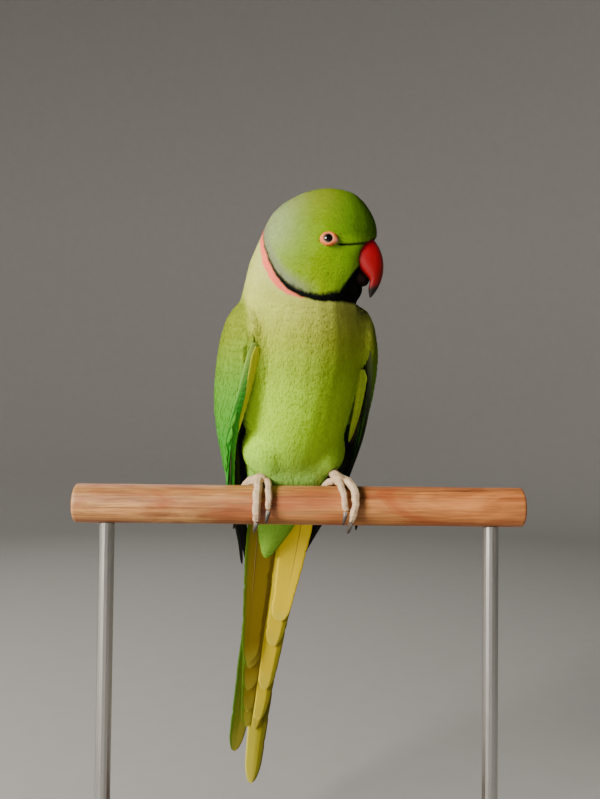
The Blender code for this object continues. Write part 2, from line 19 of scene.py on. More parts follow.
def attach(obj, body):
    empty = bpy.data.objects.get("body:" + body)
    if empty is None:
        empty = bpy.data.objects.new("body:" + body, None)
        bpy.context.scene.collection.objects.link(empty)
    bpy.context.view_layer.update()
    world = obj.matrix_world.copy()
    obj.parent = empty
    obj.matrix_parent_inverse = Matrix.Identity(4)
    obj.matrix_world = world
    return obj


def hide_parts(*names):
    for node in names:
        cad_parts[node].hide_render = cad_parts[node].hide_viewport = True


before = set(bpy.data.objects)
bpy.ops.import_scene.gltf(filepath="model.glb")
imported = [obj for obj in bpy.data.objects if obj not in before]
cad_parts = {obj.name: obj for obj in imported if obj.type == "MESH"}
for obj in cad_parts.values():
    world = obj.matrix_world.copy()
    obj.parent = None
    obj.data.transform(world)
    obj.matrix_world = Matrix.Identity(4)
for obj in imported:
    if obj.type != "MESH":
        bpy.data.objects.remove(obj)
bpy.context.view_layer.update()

# ---------------------------------------------------------------- sizes and places

MM = 0.001
PERCH_RADIUS = 10.0
PERCH_LENGTH = 228.0
PERCH_HEIGHT = 228.0
PERCH_BACK = -36.0
BODY_TURN = math.radians(16.5)
BODY_SHIFT = -0.2
HEAD_TURN = math.radians(61.5)
HEAD_CENTRE = (3.2, -17.0, 130.0)

# The folded wings' outline: height, reach of the left wing, reach of the right wing, how far back the
# section's middle is, reach to the back, and the angles where the wing starts and ends.
WING_SECTIONS = (
    (103.0, 30.4, 31.0, -3.0, 22.0, -12.0, 12.0),
    (97.0, 35.8, 36.8, -2.4, 28.0, -32.0, 34.0),
    (87.0, 39.2, 41.0, -2.0, 32.0, -40.0, 56.0),
    (76.0, 40.7, 42.8, -0.6, 34.0, -40.0, 66.0),
    (64.0, 40.7, 43.4, 2.4, 34.6, -37.0, 72.0),
    (50.0, 39.6, 42.8, 7.0, 34.0, -31.0, 76.0),
    (36.0, 37.6, 40.0, 12.8, 31.0, -20.0, 78.0),
    (22.0, 36.0, 36.0, 19.4, 26.6, -8.0, 78.0),
    (8.0, 33.8, 33.0, 26.4, 22.4, -2.0, 74.0),
    (-8.0, 27.0, 29.0, 33.0, 18.8, 2.0, 62.0),
    (-24.0, 20.8, 24.0, 40.4, 16.6, 8.0, 52.0),
    (-39.0, 18.0, 20.6, 48.4, 13.6, 20.0, 38.0),
)
# A point and the normal of the slanting plane where the small coverts end.
WING_COVERT_CUT = ((0.0, 20.0, 30.0), (0.0, -0.50, 1.0))

# The tail leans this far back for each length down. Its feathers' lengths are from the middle outwards.
TAIL_ROOT = (0.0, 28.2, 12.0)
TAIL_LEAN = 0.438
TAIL_LENGTHS = {"l": (227.0, 180.0, 172.0, 147.0, 113.0, 94.0), "r": (198.0, 177.0, 164.0, 146.0, 128.0, 123.0)}
# The gap between its layers, the share of a feather where the tip begins, and how wide its roof is drawn.
TAIL_LAYER = 0.95
TAIL_TIP = 0.9
TAIL_ROOF = 150.0

# The lower end of the body: height, left, back, half length and half width, down to the coverts under the tail.
WEDGE_SECTIONS = (
    (17.0, 0.5, 21.2, 20.8, 23.6),
    (5.0, 0.0, 27.4, 15.6, 19.6),
    (-8.0, -1.4, 35.0, 12.2, 14.4),
    (-22.0, -3.3, 42.0, 9.3, 9.1),
    (-29.5, -4.2, 46.2, 6.8, 5.8),
    (-36.0, -4.8, 50.2, 3.8, 3.0),
    (-40.0, -5.1, 52.6, 1.5, 1.2),
)
COVERTS_LOWEST = -45.5

CULMEN_CENTRE = (11.8, -11.6)
CULMEN_RADIUS = 21.2
CULMEN_FROM = math.radians(54.0)
CULMEN_TO = math.radians(-44.0)
# The upper bill's cutting edge: forward, up and the bill's width there.
BILL_EDGE = (
    (15.0, -3.0, 14.0),
    (17.0, -8.0, 14.2),
    (20.4, -12.4, 13.0),
    (23.8, -15.6, 10.8),
    (26.2, -18.4, 8.0),
    (25.7, -22.4, 4.8),
    (26.3, -26.5, 1.0),
)
# The lower bill: forward and up of its top and of its underside, and its width.
LOWER_BILL = (
    (14.0, -9.0, 14.0, -19.0, 10.6),
    (18.6, -11.8, 18.6, -21.2, 10.6),
    (21.8, -15.0, 21.8, -21.6, 9.4),
    (24.2, -17.6, 24.4, -20.8, 6.6),
    (25.4, -18.6, 25.6, -19.4, 2.6),
)
EYE_RADIUS = 3.5
EYE_PLACE = (8.4, 15.7, -1.0)
PUPIL_ANGLE, IRIS_ANGLE = 33.0, 37.0
# The coat thins towards these places of the head frame.
BILL_ROOT = (22.0, 0.0, -8.0)
EYE_OUTER = (EYE_PLACE[0], 17.5, EYE_PLACE[2])
# The feathers lie away from one place of the head frame, and on the body towards one of the bird frame.
LIE_FROM = (21.0, 0.0, -7.0)
LIE_TO = (-4.0, 60.0, -60.0)
EYE_RING_INNER, EYE_RING_WIDE = 2.12, 1.98
# The bare ring: lid edge on the eyeball, a soft roll, then out under the feathers, as radius and height.
EYE_RING = (
    (2.12, 2.6), (2.18, 2.88), (2.35, 3.06), (2.6, 3.1), (2.9, 3.0), (3.2, 2.82), (3.5, 2.56), (3.8, 2.2), (4.1, 1.6),
)

SKIN_VOXEL = 1.1
FLESH_SWELL = 0.45
BODY_COAT = 1.6
HEAD_COAT = 1.1
WING_COAT = 1.0
# Feathers above this height are the head's.
HEAD_FROM = 112
# How far a tuft's blades fan out to either side, and how many shapes of tuft a coat is made of.
FAN_SPREAD = math.radians(112)
TUFT_SHAPES = 4
# Roots tried for each one that there is room for.
ROOT_TRIES = 5.0
# A flesh node is looked for this near to a point, and counts as this far away if it isn't found.
FOUND_WITHIN, NOT_FOUND = 60.0, 99.0
# The side of a tuft's patch on the OFBake map.
TUFT_PATCH = 0.003
# The left edge and the width of each island of that map.
BAKE_ISLANDS = {"body": (0.01, 0.55), "l": (0.58, 0.19), "r": (0.79, 0.19)}

CAMERA_LENS = 34.69
CAMERA_AWAY, CAMERA_UP = 395.0, 43.0

FLESH = ("head", "neck", "trunk", "thigh_l", "thigh_r", "wing_l_coverts", "wing_r_coverts")

# ---------------------------------------------------------------- maths


def smooth_columns(table, count):
    """The rows of a table resampled to count rows on smooth curves through its own rows."""
    rows = np.array(table, float)
    slopes = np.gradient(rows, axis=0)
    at = np.linspace(0, len(rows) - 1, count)
    low = np.minimum(at.astype(int), len(rows) - 2)
    t = (at - low)[:, None]
    h00, h10 = 2 * t**3 - 3 * t**2 + 1, t**3 - 2 * t**2 + t
    h01, h11 = -2 * t**3 + 3 * t**2, t**3 - t**2
    return h00 * rows[low] + h10 * slopes[low] + h01 * rows[low + 1] + h11 * slopes[low + 1]


def sections_at(sections, z):
    """The other columns of a table of sections at heights z, on smooth curves."""
    table = smooth_columns(sections, 60)[::-1]
    return (np.interp(z, table[:, 0], column) for column in table[:, 1:].T)


def step(low, high, x):
    """0 below low, 1 above high and smooth in between."""
    t = np.clip((np.asarray(x, float) - low) / (high - low), 0, 1)
    return t * t * (3 - 2 * t)


def circle(count):
    """Angles evenly round a circle."""
    return np.linspace(0, 2 * math.pi, count, endpoint=False)


def unit(v):
    return v / np.maximum(np.linalg.norm(v, axis=-1, keepdims=True), 1e-9)


def dot(a, b):
    return (a * b).sum(-1, keepdims=True)


def right_handed(ahead, side, up):
    """Whether ahead, side and up make a right-handed set, which says how a feather's faces are wound."""
    return float((np.cross(ahead, side) * up).sum()) > 0


def turned(p, angle):
    """Points or directions turned about Z."""
    c, s = math.cos(angle), math.sin(angle)
    p = np.asarray(p, float)
    return np.stack([p[..., 0] * c - p[..., 1] * s, p[..., 0] * s + p[..., 1] * c, p[..., 2]], -1)


BIRD_ORIGIN = np.array([BODY_SHIFT, PERCH_BACK, PERCH_HEIGHT])
PERCH_ORIGIN = np.array([0.0, PERCH_BACK, PERCH_HEIGHT])


def bird_to_row(p):
    return turned(p, BODY_TURN) + BIRD_ORIGIN


def row_to_bird(p):
    return turned(np.asarray(p) - BIRD_ORIGIN, -BODY_TURN)


def head_to_bird_direction(d):
    """From forward, left, up to the bird frame."""
    s, c = math.sin(HEAD_TURN), math.cos(HEAD_TURN)
    d = np.asarray(d, float)
    f, left, u = d[..., 0], d[..., 1], d[..., 2]
    return np.stack([f * s + left * c, -f * c + left * s, u], -1)


def lines_to_row(line, across, up):
    """Lines of points of the bird frame, with their directions, in the row frame."""
    return bird_to_row(line), turned(across, BODY_TURN), turned(up, BODY_TURN)


def square_to(line, beside):
    """The directions along lines of points, and those beside them at right angles."""
    ahead = unit(np.gradient(line, axis=-2))
    return ahead, unit(beside - ahead * dot(beside, ahead))


def head_to_row(p):
    return bird_to_row(head_to_bird_direction(p) + HEAD_CENTRE)


def head_to_row_direction(d):
    return turned(head_to_bird_direction(d), BODY_TURN)


def row_to_head(p):
    s, c = math.sin(HEAD_TURN), math.cos(HEAD_TURN)
    q = row_to_bird(p) - HEAD_CENTRE
    x, y, z = q[..., 0], q[..., 1], q[..., 2]
    return np.stack([x * s - y * c, x * c + y * s, z], -1)


def value_noise(p, scale, seed, squeeze=(1.0, 1.0, 1.0)):
    """Smooth noise from -1 to 1 at points, with features about scale millimetres across, longer where squeezed."""
    q = np.asarray(p, float) * np.array(squeeze) / scale
    cell = np.floor(q).astype(np.int64)
    t = q - cell
    t = t * t * (3 - 2 * t)
    total = np.zeros(q.shape[:-1])
    for corner in range(8):
        offset = np.array([(corner >> k) & 1 for k in range(3)])
        c = cell + offset
        h = (c[..., 0] * 73856093) ^ (c[..., 1] * 19349663) ^ (c[..., 2] * 83492791) ^ (seed * 2654435761)
        h = (h ^ (h >> 13)) * 1274126177
        value = ((h ^ (h >> 16)) & 0xFFFF) / 32767.5 - 1
        weight = np.prod(np.where(offset, t, 1 - t), axis=-1)
        total += value * weight
    return total


# ---------------------------------------------------------------- colours and markings


def srgb(text):
    """Linear colour from a hexadecimal sRGB one."""
    c = np.array([int(text[i : i + 2], 16) for i in (0, 2, 4)]) / 255
    return np.where(c <= 0.04045, c / 12.92, ((c + 0.055) / 1.055) ** 2.4)


def ramp(x, stops):
    """Colour along a list of (place, hex colour), places rising."""
    places = [place for place, _ in stops]
    colours = np.array([srgb(text) for _, text in stops])
    return np.stack([np.interp(x, places, colours[:, k]) for k in range(3)], -1)


def mix(a, b, share):
    share = np.asarray(share)[..., None]
    return a * (1 - share) + b * share


# Colours by height of the bird frame.
FRONT_COLOURS = (
    (-46, "aae24c"), (-10, "8ecb44"), (4, "7cb848"), (12, "9ad25c"), (22, "9cd038"), (36, "a6d822"),
    (54, "a4d028"), (68, "98b82c"), (82, "a0ae38"), (98, "b4bc52"), (112, "c2c868"),
)
BACK_COLOURS = ((-50, "4f9a22"), (0, "529426"), (60, "5f8f28"), (100, "7d9f45"), (118, "9bb068"))
WING_COLOURS = (
    (-40, "245414"), (-5, "187418"), (14, "1e8e1c"), (34, "46982c"), (60, "5f942c"), (84, "7c8f24"), (104, "84922a"),
)
# The tail's under side, outer and inner web, by side and from the middle outwards, and its upper side. The left half's
# under side is painted brighter yellow as painted light, the right half's darker gold partly as painted shade.
TAIL_UNDER = {
    1: (
        ("bab02a", "e0cc26", "e8d022", "eed220", "f2d41e", "f4d61e"),
        ("d8ce40", "e2d030", "e8d22a", "ecd226", "ecd222", "ecd01e"),
    ),
    -1: (
        ("7f8a2a", "9f9622", "9c8a16", "96800e", "927a0c", "94800e"),
        ("a8a63c", "b0a42a", "a8921a", "a08812", "a08612", "a08812"),
    ),
}
TAIL_ABOVE = ("1f7a5c", "3a8a36", "45902a", "4d9226", "549624", "5a9824")
EYE_RING_COLOURS = ((0.0, "5a2c1c"), (0.12, "d88a5c"), (0.4, "ea7630"), (0.75, "e86a20"), (1.0, "b8701c"))
# The collar's radius about COLLAR_CENTRE in the head's middle plane, by the angle from straight ahead and down:
# -90 is the throat and -180 the back of the head. The black line is inside the pink one.
COLLAR_CENTRE = (3.0, -1.5)
COLLAR = (
    (-360, 60.0), (-240, 60.0), (-225, 42.0), (-204, 30.6), (-192, 27.7), (-183, 26.0), (-168, 23.6),
    (-150, 23.0), (-120, 24.0), (-90, 25.2), (-60, 25.4), (-30, 25.0), (0, 25.0),
)
COLLAR_BLACK = ((-200, 0.4), (-180, 0.7), (-150, 1.4), (-120, 2.5), (-95, 3.4), (-70, 5.0), (-50, 9.0), (-30, 9.0))
# The rose line is drawn this much narrower than the strip of fine feathers that is kept for it.
PINK_SHARE = 0.78
COLLAR_PINK = ((-225, 1.5), (-205, 2.4), (-180, 3.0), (-160, 3.8), (-135, 4.0), (-118, 2.8), (-104, 1.0), (-94, 0.0))


def head_markings(h):
    """Colours on the head, and how far each point is outside the collar."""
    f, u = h[..., 0], h[..., 2]
    angle = np.degrees(np.arctan2(u - COLLAR_CENTRE[1], f - COLLAR_CENTRE[0]))
    angle = np.where(angle > 0, angle - 360, angle)
    out = np.hypot(f - COLLAR_CENTRE[0], u - COLLAR_CENTRE[1]) - np.interp(angle, *zip(*COLLAR))
    black = np.interp(angle, *zip(*COLLAR_BLACK))
    pink = np.interp(angle, *zip(*COLLAR_PINK))

    colour = ramp(u, ((-25, "88a60a"), (-8, "80a404"), (6, "74940a"), (20, "788a1c")))
    front = step(2, 20, f)
    colour = mix(colour, srgb("7eb406"), 0.8 * front * step(8, -4, u))
    # A deeper green from above the eye to the bill's root: partly the forehead's own colour, partly painted shade.
    colour = mix(colour, srgb("4f8006"), 0.85 * step(4, 22, f) * step(-3, 5, u))
    grey = 0.72 * step(5, -20, f) * step(-22, 4, u)
    grey = np.maximum(grey, 0.75 * step(-8, -0.5, out) * step(6, -8, f))
    colour = mix(colour, srgb("909c76"), grey)
    colour = mix(colour, srgb("78786a"), 0.6 * step(-4.5, -0.5, out) * step(5, -8, f))
    # Dark olive on the front of the forehead above the bill: partly its own colour, partly painted shade where it faces
    # away from the light.
    colour = mix(colour, srgb("3c5208"), 0.5 * step(16, 23, f) * step(-2, 6, u))
    return colour, out, black, pink


def body_middle(z):
    """How far back the middle of the body is at heights of the bird frame."""
    return np.interp(z, (-47, 5, 30, 58, 84, 112), (56, 27, 15, 3.4, -3.4, -12))


def markings(p):
    """The plumage's colour at points of the row frame."""
    b, h = row_to_bird(p), row_to_head(p)
    x, y, z = b[..., 0], b[..., 1], b[..., 2]
    f, left, u = h[..., 0], h[..., 1], h[..., 2]
    front, back = ramp(z, FRONT_COLOURS), ramp(z, BACK_COLOURS)
    body = mix(front, back, step(-4, 12, y - body_middle(z)))
    shoulder = step(31.2, 33.2, np.abs(x)) * step(108, 101, z) * step(70, 76, z)
    body = mix(body, wing_colour(p), shoulder)
    streaks = value_noise(b, 3.2, 12, (1.0, 1.0, 0.28)) + 0.6 * value_noise(b, 9.0, 13, (1.0, 1.0, 0.4))
    body = body * (1 + 0.04 * streaks)[..., None]
    head, out, black, pink = head_markings(h)
    out = out + 0.35 * value_noise(p, 2.2, 5)
    on_head = step(0.25, -0.25, out) * step(92, 100, z)
    colour = mix(body, head, on_head)
    near_nape = step(9, 1, out) * step(2, -10, f) * step(96, 108, z)
    colour = mix(colour, srgb("c9cf9a"), 0.5 * near_nape * (1 - on_head))
    neck = step(94, 98, z)
    is_pink = step(-0.25, 0.25, out - black) * step(0.3, -0.3, out - black - PINK_SHARE * pink) * step(96, 100, z)
    colour = mix(colour, srgb("ff7460"), 0.97 * is_pink * step(0.2, 1.0, pink))
    is_black = step(-0.3, 0.3, out) * step(0.3, -0.3, out - black) * neck
    bib = step(-0.4, 0.4, f - (20.6 + 0.62 * (u + 13))) * step(-10.5, -12, u) * step(-31.0, -29, u) * neck
    on_neck = np.maximum(step(25.5, 24.0, np.hypot(x - 3.0, y + 15.0)), step(12, 8, f))
    along = np.clip((f - 13.0) / 13.0, 0, 1)
    lore = step(0.75, 0.35, np.abs(u - (-3.2 + 2.4 * along**1.5))) * step(12.5, 13.5, f) * step(34, 30, f)
    lore = lore * step(0, 4, np.abs(left))
    return mix(colour, srgb("0b0d0b"), np.maximum(np.maximum(is_black, bib) * on_neck, lore))


# ---------------------------------------------------------------- meshes


def paint(mesh, colours):
    """Give a mesh a colour for each of its points, or one for all."""
    rgba = np.ones((len(mesh.vertices), 4), np.float32)
    rgba[:, :3] = np.asarray(colours).reshape(-1, 3)
    mesh.color_attributes.new("Col", "FLOAT_COLOR", "POINT").data.foreach_set("color", rgba.ravel())


def move_points(mesh, verts):
    """Put a mesh's points at places in millimetres."""
    mesh.vertices.foreach_set("co", (verts * MM).astype(np.float32).ravel())


def placed(name, data):
    """A new object in the scene."""
    obj = bpy.data.objects.new(name, data)
    bpy.context.scene.collection.objects.link(obj)
    return obj


def mesh_object(name, verts, quads, tris=(), material=None, colours=None, bake=None, vane=None, normals=None):
    """An object from arrays: points in millimetres, faces, and colours, UVs and normals by point."""
    verts = np.asarray(verts, float).reshape(-1, 3)
    quads = np.asarray(quads, np.int32).reshape(-1, 4)
    tris = np.asarray(tris, np.int32).reshape(-1, 3)
    loops = np.concatenate([quads.ravel(), tris.ravel()])
    starts = np.concatenate([np.arange(len(quads)) * 4, len(quads) * 4 + np.arange(len(tris)) * 3])
    mesh = bpy.data.meshes.new(name)
    mesh.vertices.add(len(verts))
    move_points(mesh, verts)
    mesh.loops.add(len(loops))
    mesh.loops.foreach_set("vertex_index", loops)
    mesh.polygons.add(len(starts))
    mesh.polygons.foreach_set("loop_start", starts.astype(np.int32))
    mesh.update(calc_edges=True)
    if colours is not None:
        paint(mesh, colours)
    for label, values in (("OFBake", bake), ("Vane", vane)):
        if values is not None:
            uvs = np.asarray(values, np.float32).reshape(-1, 2)[loops]
            mesh.uv_layers.new(name=label).data.foreach_set("uv", uvs.ravel())
    mesh.shade_smooth()
    if normals is not None:
        mesh.normals_split_custom_set_from_vertices(np.asarray(normals, np.float32))
    mesh.materials.append(material)
    obj = placed(name, mesh)
    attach(obj, "root")
    return obj


def grid_quads(rows, columns, closed=False, first=0):
    """Faces of a grid of points, row by row. closed joins the last column to the first."""
    r, c = np.meshgrid(np.arange(rows - 1), np.arange(columns if closed else columns - 1), indexing="ij")
    r, c = r.ravel(), c.ravel()
    d = (c + 1) % columns
    return first + np.stack([r * columns + c, r * columns + d, (r + 1) * columns + d, (r + 1) * columns + c], -1)


class Parts:
    """Gathers pieces of mesh that become one object."""

    def __init__(self):
        self.stores = {}
        self.count = 0

    def add(self, verts, quads, tris, **values):
        """values are colours, UVs and normals by point, or one row of them for all points."""
        verts = np.asarray(verts, float)
        rows = {name: np.broadcast_to(value, (len(verts), value.shape[-1])) for name, value in values.items()}
        faces = {name: np.asarray(part) + self.count for name, part in (("quads", quads), ("tris", tris)) if len(part)}
        for name, part in {"verts": verts, **faces, **rows}.items():
            self.stores.setdefault(name, []).append(part)
        self.count += len(verts)

    def build(self, name, material):
        arrays = {key: np.concatenate(parts) for key, parts in self.stores.items()}
        return mesh_object(name, material=material, **arrays)


def tube_rings(points, radii, sides, across):
    """Rings of points round a path, as an array (stations, sides, 3), each starting towards across."""
    ahead = unit(np.gradient(points, axis=0))
    rings = []
    angles = circle(sides)
    for p, d, r in zip(points, ahead, radii):
        across = across - d * np.dot(across, d)
        across = across / np.linalg.norm(across)
        other = np.cross(d, across)
        rings.append(p + r * (np.cos(angles)[:, None] * across + np.sin(angles)[:, None] * other))
    return np.array(rings)


def closed_tube(rings):
    """Points and faces of rings, with a fan over either end."""
    rows, sides, _ = rings.shape
    verts = np.concatenate([rings.reshape(-1, 3), rings[:1].mean(1), rings[-1:].mean(1)])
    quads = grid_quads(rows, sides, closed=True)
    i = np.arange(sides)
    j = (i + 1) % sides
    first, last = rows * sides, rows * sides + 1
    low = np.stack([np.full(sides, first), j, i], -1)
    high = np.stack([np.full(sides, last), (rows - 1) * sides + i, (rows - 1) * sides + j], -1)
    return verts, quads, np.concatenate([low, high])


def reshaped(obj, smoothing, voxel=None):
    """Remesh an object, if a voxel size in millimetres is given, and smooth it."""
    if voxel:
        remesh = obj.modifiers.new("remesh", "REMESH")
        remesh.mode, remesh.voxel_size, remesh.adaptivity = "VOXEL", voxel * MM, 0.0
    smooth = obj.modifiers.new("smooth", "SMOOTH")
    smooth.factor, smooth.iterations = 0.5, smoothing
    graph = bpy.context.evaluated_depsgraph_get()
    obj.data = bpy.data.meshes.new_from_object(obj.evaluated_get(graph))
    obj.modifiers.clear()


def finished(obj, colours, material):
    """Give an object its colours by point and its material, and let it ride on the body."""
    paint(obj.data, colours)
    obj.data.materials.clear()
    obj.data.materials.append(material)
    obj.data.update()
    obj.data.shade_smooth()
    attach(obj, "root")


def mesh_arrays(obj):
    """Points in millimetres, faces as tuples, and the points' normals."""
    mesh = obj.data
    verts = np.empty(len(mesh.vertices) * 3, np.float32)
    mesh.vertices.foreach_get("co", verts)
    normals = np.empty(len(mesh.vertices) * 3, np.float32)
    mesh.vertices.foreach_get("normal", normals)
    verts, normals = verts.reshape(-1, 3) / MM, normals.reshape(-1, 3)
    faces = [tuple(polygon.vertices) for polygon in mesh.polygons]
    return verts.astype(float), faces, normals.astype(float)


# ---------------------------------------------------------------- materials


class Shader:
    """A Principled material with helpers for the nodes that feed it."""

    def __init__(self, name, **sockets):
        self.material = bpy.data.materials.new(name)
        self.material.use_nodes = True
        self.tree = self.material.node_tree
        self.out = self.tree.nodes["Principled BSDF"]
        for label, value in sockets.items():
            self.out.inputs[label.replace("_", " ")].default_value = value

    def node(self, kind, inputs=(), **settings):
        made = self.tree.nodes.new("ShaderNode" + kind)
        for key, value in settings.items():
            setattr(made, key, value)
        for key, value in dict(inputs).items():
            if isinstance(value, bpy.types.NodeSocket):
                self.tree.links.new(value, made.inputs[key])
            else:
                made.inputs[key].default_value = value
        return made

    def math(self, operation, a, b=0.0):
        return self.node("Math", {0: a, 1: b}, operation=operation).outputs[0]

    def noise(self, vector, scale, detail=3.0, roughness=0.55, distortion=0.0):
        inputs = {"Vector": vector, "Scale": scale, "Detail": detail, "Roughness": roughness, "Distortion": distortion}
        return self.node("TexNoise", inputs).outputs["Fac"]

    def span(self, value, low, high, to_low, to_high):
        inputs = {"Value": value, "From Min": low, "From Max": high, "To Min": to_low, "To Max": to_high}
        return self.node("MapRange", inputs).outputs[0]

    def blend(self, a, b, factor, mode="MIX"):
        made = self.node("Mix", {}, data_type="RGBA", blend_type=mode)
        for index, value in ((0, factor), (6, a), (7, b)):
            if isinstance(value, bpy.types.NodeSocket):
                self.tree.links.new(value, made.inputs[index])
            else:
                made.inputs[index].default_value = value if index == 0 else (*value, 1.0)
        return made.outputs[2]

    def place(self):
        return self.node("TexCoord").outputs["Object"]

    def uv(self, name):
        return self.node("UVMap", uv_map=name).outputs[0]

    def stretched(self, vector, scale):
        return self.node("Mapping", {"Vector": vector, "Scale": scale}).outputs[0]

    def attribute(self):
        return self.node("Attribute", attribute_name="Col").outputs["Color"]

    def cells(self, scale):
        """How far each place is from the edge of its cell."""
        inputs = {"Vector": self.place(), "Scale": scale}
        return self.node("TexVoronoi", inputs, feature="DISTANCE_TO_EDGE").outputs[0]

    def shaded(self, colour, low, high, factor):
        """A colour multiplied by a grey between low and high."""
        return self.blend(colour, self.blend((low,) * 3, (high,) * 3, factor), 1.0, "MULTIPLY")

    def colour(self, socket):
        self.tree.links.new(socket, self.out.inputs["Base Color"])

    def roughness(self, socket):
        self.tree.links.new(socket, self.out.inputs["Roughness"])

    def grained(self, grain, low, high, distance, strength):
        """The points' own colours, darkened and lightened by a grain that also stands up."""
        self.colour(self.shaded(self.attribute(), low, high, grain))
        self.bump(grain, distance, strength)

    def bump(self, height, distance, strength):
        made = self.node("Bump", {"Height": height, "Distance": distance, "Strength": strength})
        before = self.out.inputs["Normal"].links
        if before:
            self.tree.links.new(before[0].from_socket, made.inputs["Normal"])
        self.tree.links.new(made.outputs[0], self.out.inputs["Normal"])


def make_materials():
    """The scene's materials, by what wears them."""
    made = {}
    soft = Shader("plumage", Roughness=0.8, Specular_IOR_Level=0.06)
    fine = soft.noise(soft.place(), 900.0, 4.0, 0.6)
    soft.grained(fine, 0.82, 1.16, 0.0002, 0.5)
    made["plumage"] = soft.material

    # The barbs slant forward from the shaft on both sides.
    vane = Shader("feather_vane", Roughness=0.6, Specular_IOR_Level=0.14)
    split = vane.node("SeparateXYZ", {0: vane.uv("Vane")})
    slant = vane.math("SUBTRACT", split.outputs[1], vane.math("MULTIPLY", vane.math("ABSOLUTE", split.outputs[0]), 1.3))
    lengthwise = vane.math("MULTIPLY", split.outputs[0], 0.12)
    barb = vane.node("CombineXYZ", {0: vane.math("MULTIPLY", slant, 2.6), 1: lengthwise}).outputs[0]
    coarse = vane.noise(barb, 1.0, 4.0, 0.7)
    fine = vane.noise(vane.stretched(barb, (3.0, 1.0, 1.0)), 1.0, 2.0)
    both = vane.math("ADD", vane.math("MULTIPLY", coarse, 0.6), vane.math("MULTIPLY", fine, 0.4))
    vane.grained(both, 0.74, 1.24, 0.00018, 0.8)
    made["vane"] = vane.material

    skin = Shader("skin", Roughness=0.85, Specular_IOR_Level=0.2)
    skin.grained(skin.noise(skin.place(), 700.0), 0.7, 1.0, 0.0003, 0.6)
    made["skin"] = skin.material

    bare = Shader("bare_skin", Roughness=0.55, Subsurface_Weight=0.25, Subsurface_Scale=0.001)
    pores = bare.cells(1500.0)
    bare.colour(bare.shaded(bare.attribute(), 0.8, 1.05, bare.span(pores, 0, 0.3, 0, 1)))
    bare.bump(pores, 0.0002, 0.6)
    made["bare"] = bare.material

    horn = Shader(
        "bill_horn", Roughness=0.4, Specular_IOR_Level=0.25, Coat_Weight=0.12, Coat_Roughness=0.3,
        Subsurface_Weight=0.08, Subsurface_Scale=0.0012,
    )
    streaks = horn.noise(horn.stretched(horn.uv("Vane"), (1.6, 0.16, 1)), 1.0, 5.0, 0.65)
    horn.grained(streaks, 0.72, 1.18, 0.0002, 0.4)
    horn.roughness(horn.span(streaks, 0.3, 0.7, 0.34, 0.5))
    made["horn"] = horn.material

    dark = Shader("bill_dark", Roughness=0.7, Specular_IOR_Level=0.1)
    dark.colour(dark.attribute())
    made["dark_horn"] = dark.material

    eye = Shader("eye", Roughness=0.04, Specular_IOR_Level=0.45)
    eye.colour(eye.attribute())
    made["eye"] = eye.material

    foot = Shader("foot_skin", Roughness=0.6, Subsurface_Weight=0.12, Subsurface_Scale=0.001)
    plates = foot.span(foot.cells(1100.0), 0.0, 0.12, 0.0, 1.0)
    dust = foot.noise(foot.place(), 500.0, 5.0, 0.7)
    tint = foot.shaded(foot.attribute(), 0.82, 1.08, dust)
    foot.colour(foot.shaded(tint, 0.78, 1.0, plates))
    foot.bump(plates, 0.00018, 0.7)
    foot.bump(dust, 0.0001, 0.5)
    made["foot"] = foot.material

    claw = Shader("claw_horn", Roughness=0.32, Coat_Weight=0.3, Coat_Roughness=0.3)
    wear = claw.noise(claw.stretched(claw.place(), (1, 1, 0.4)), 900.0, 4.0)
    claw.grained(wear, 0.7, 1.2, 0.0001, 0.4)
    made["claw"] = claw.material

    made["perch"] = wood("perch_wood", (0.50, 0.24, 0.075), (0.33, 0.11, 0.03), 0.55, (9, 110, 110), 0.85)
    made["base"] = wood("stand_wood", (0.12, 0.06, 0.03), (0.05, 0.022, 0.012), 0.3, (5, 60, 60))

    steel = Shader("stand_metal", Metallic=1.0, Roughness=0.32)
    brush = steel.noise(steel.stretched(steel.place(), (1, 1, 0.02)), 3000.0, 2.0)
    steel.colour(steel.blend((0.46, 0.45, 0.43), (0.62, 0.61, 0.59), brush))
    steel.roughness(steel.span(brush, 0.3, 0.7, 0.26, 0.4))
    made["steel"] = steel.material

    floor = Shader("floor", Roughness=0.9)
    speck = floor.noise(floor.place(), 40.0, 4.0)
    floor.colour(floor.blend((0.37, 0.36, 0.35), (0.41, 0.40, 0.39), speck))
    made["floor"] = floor.material
    return made


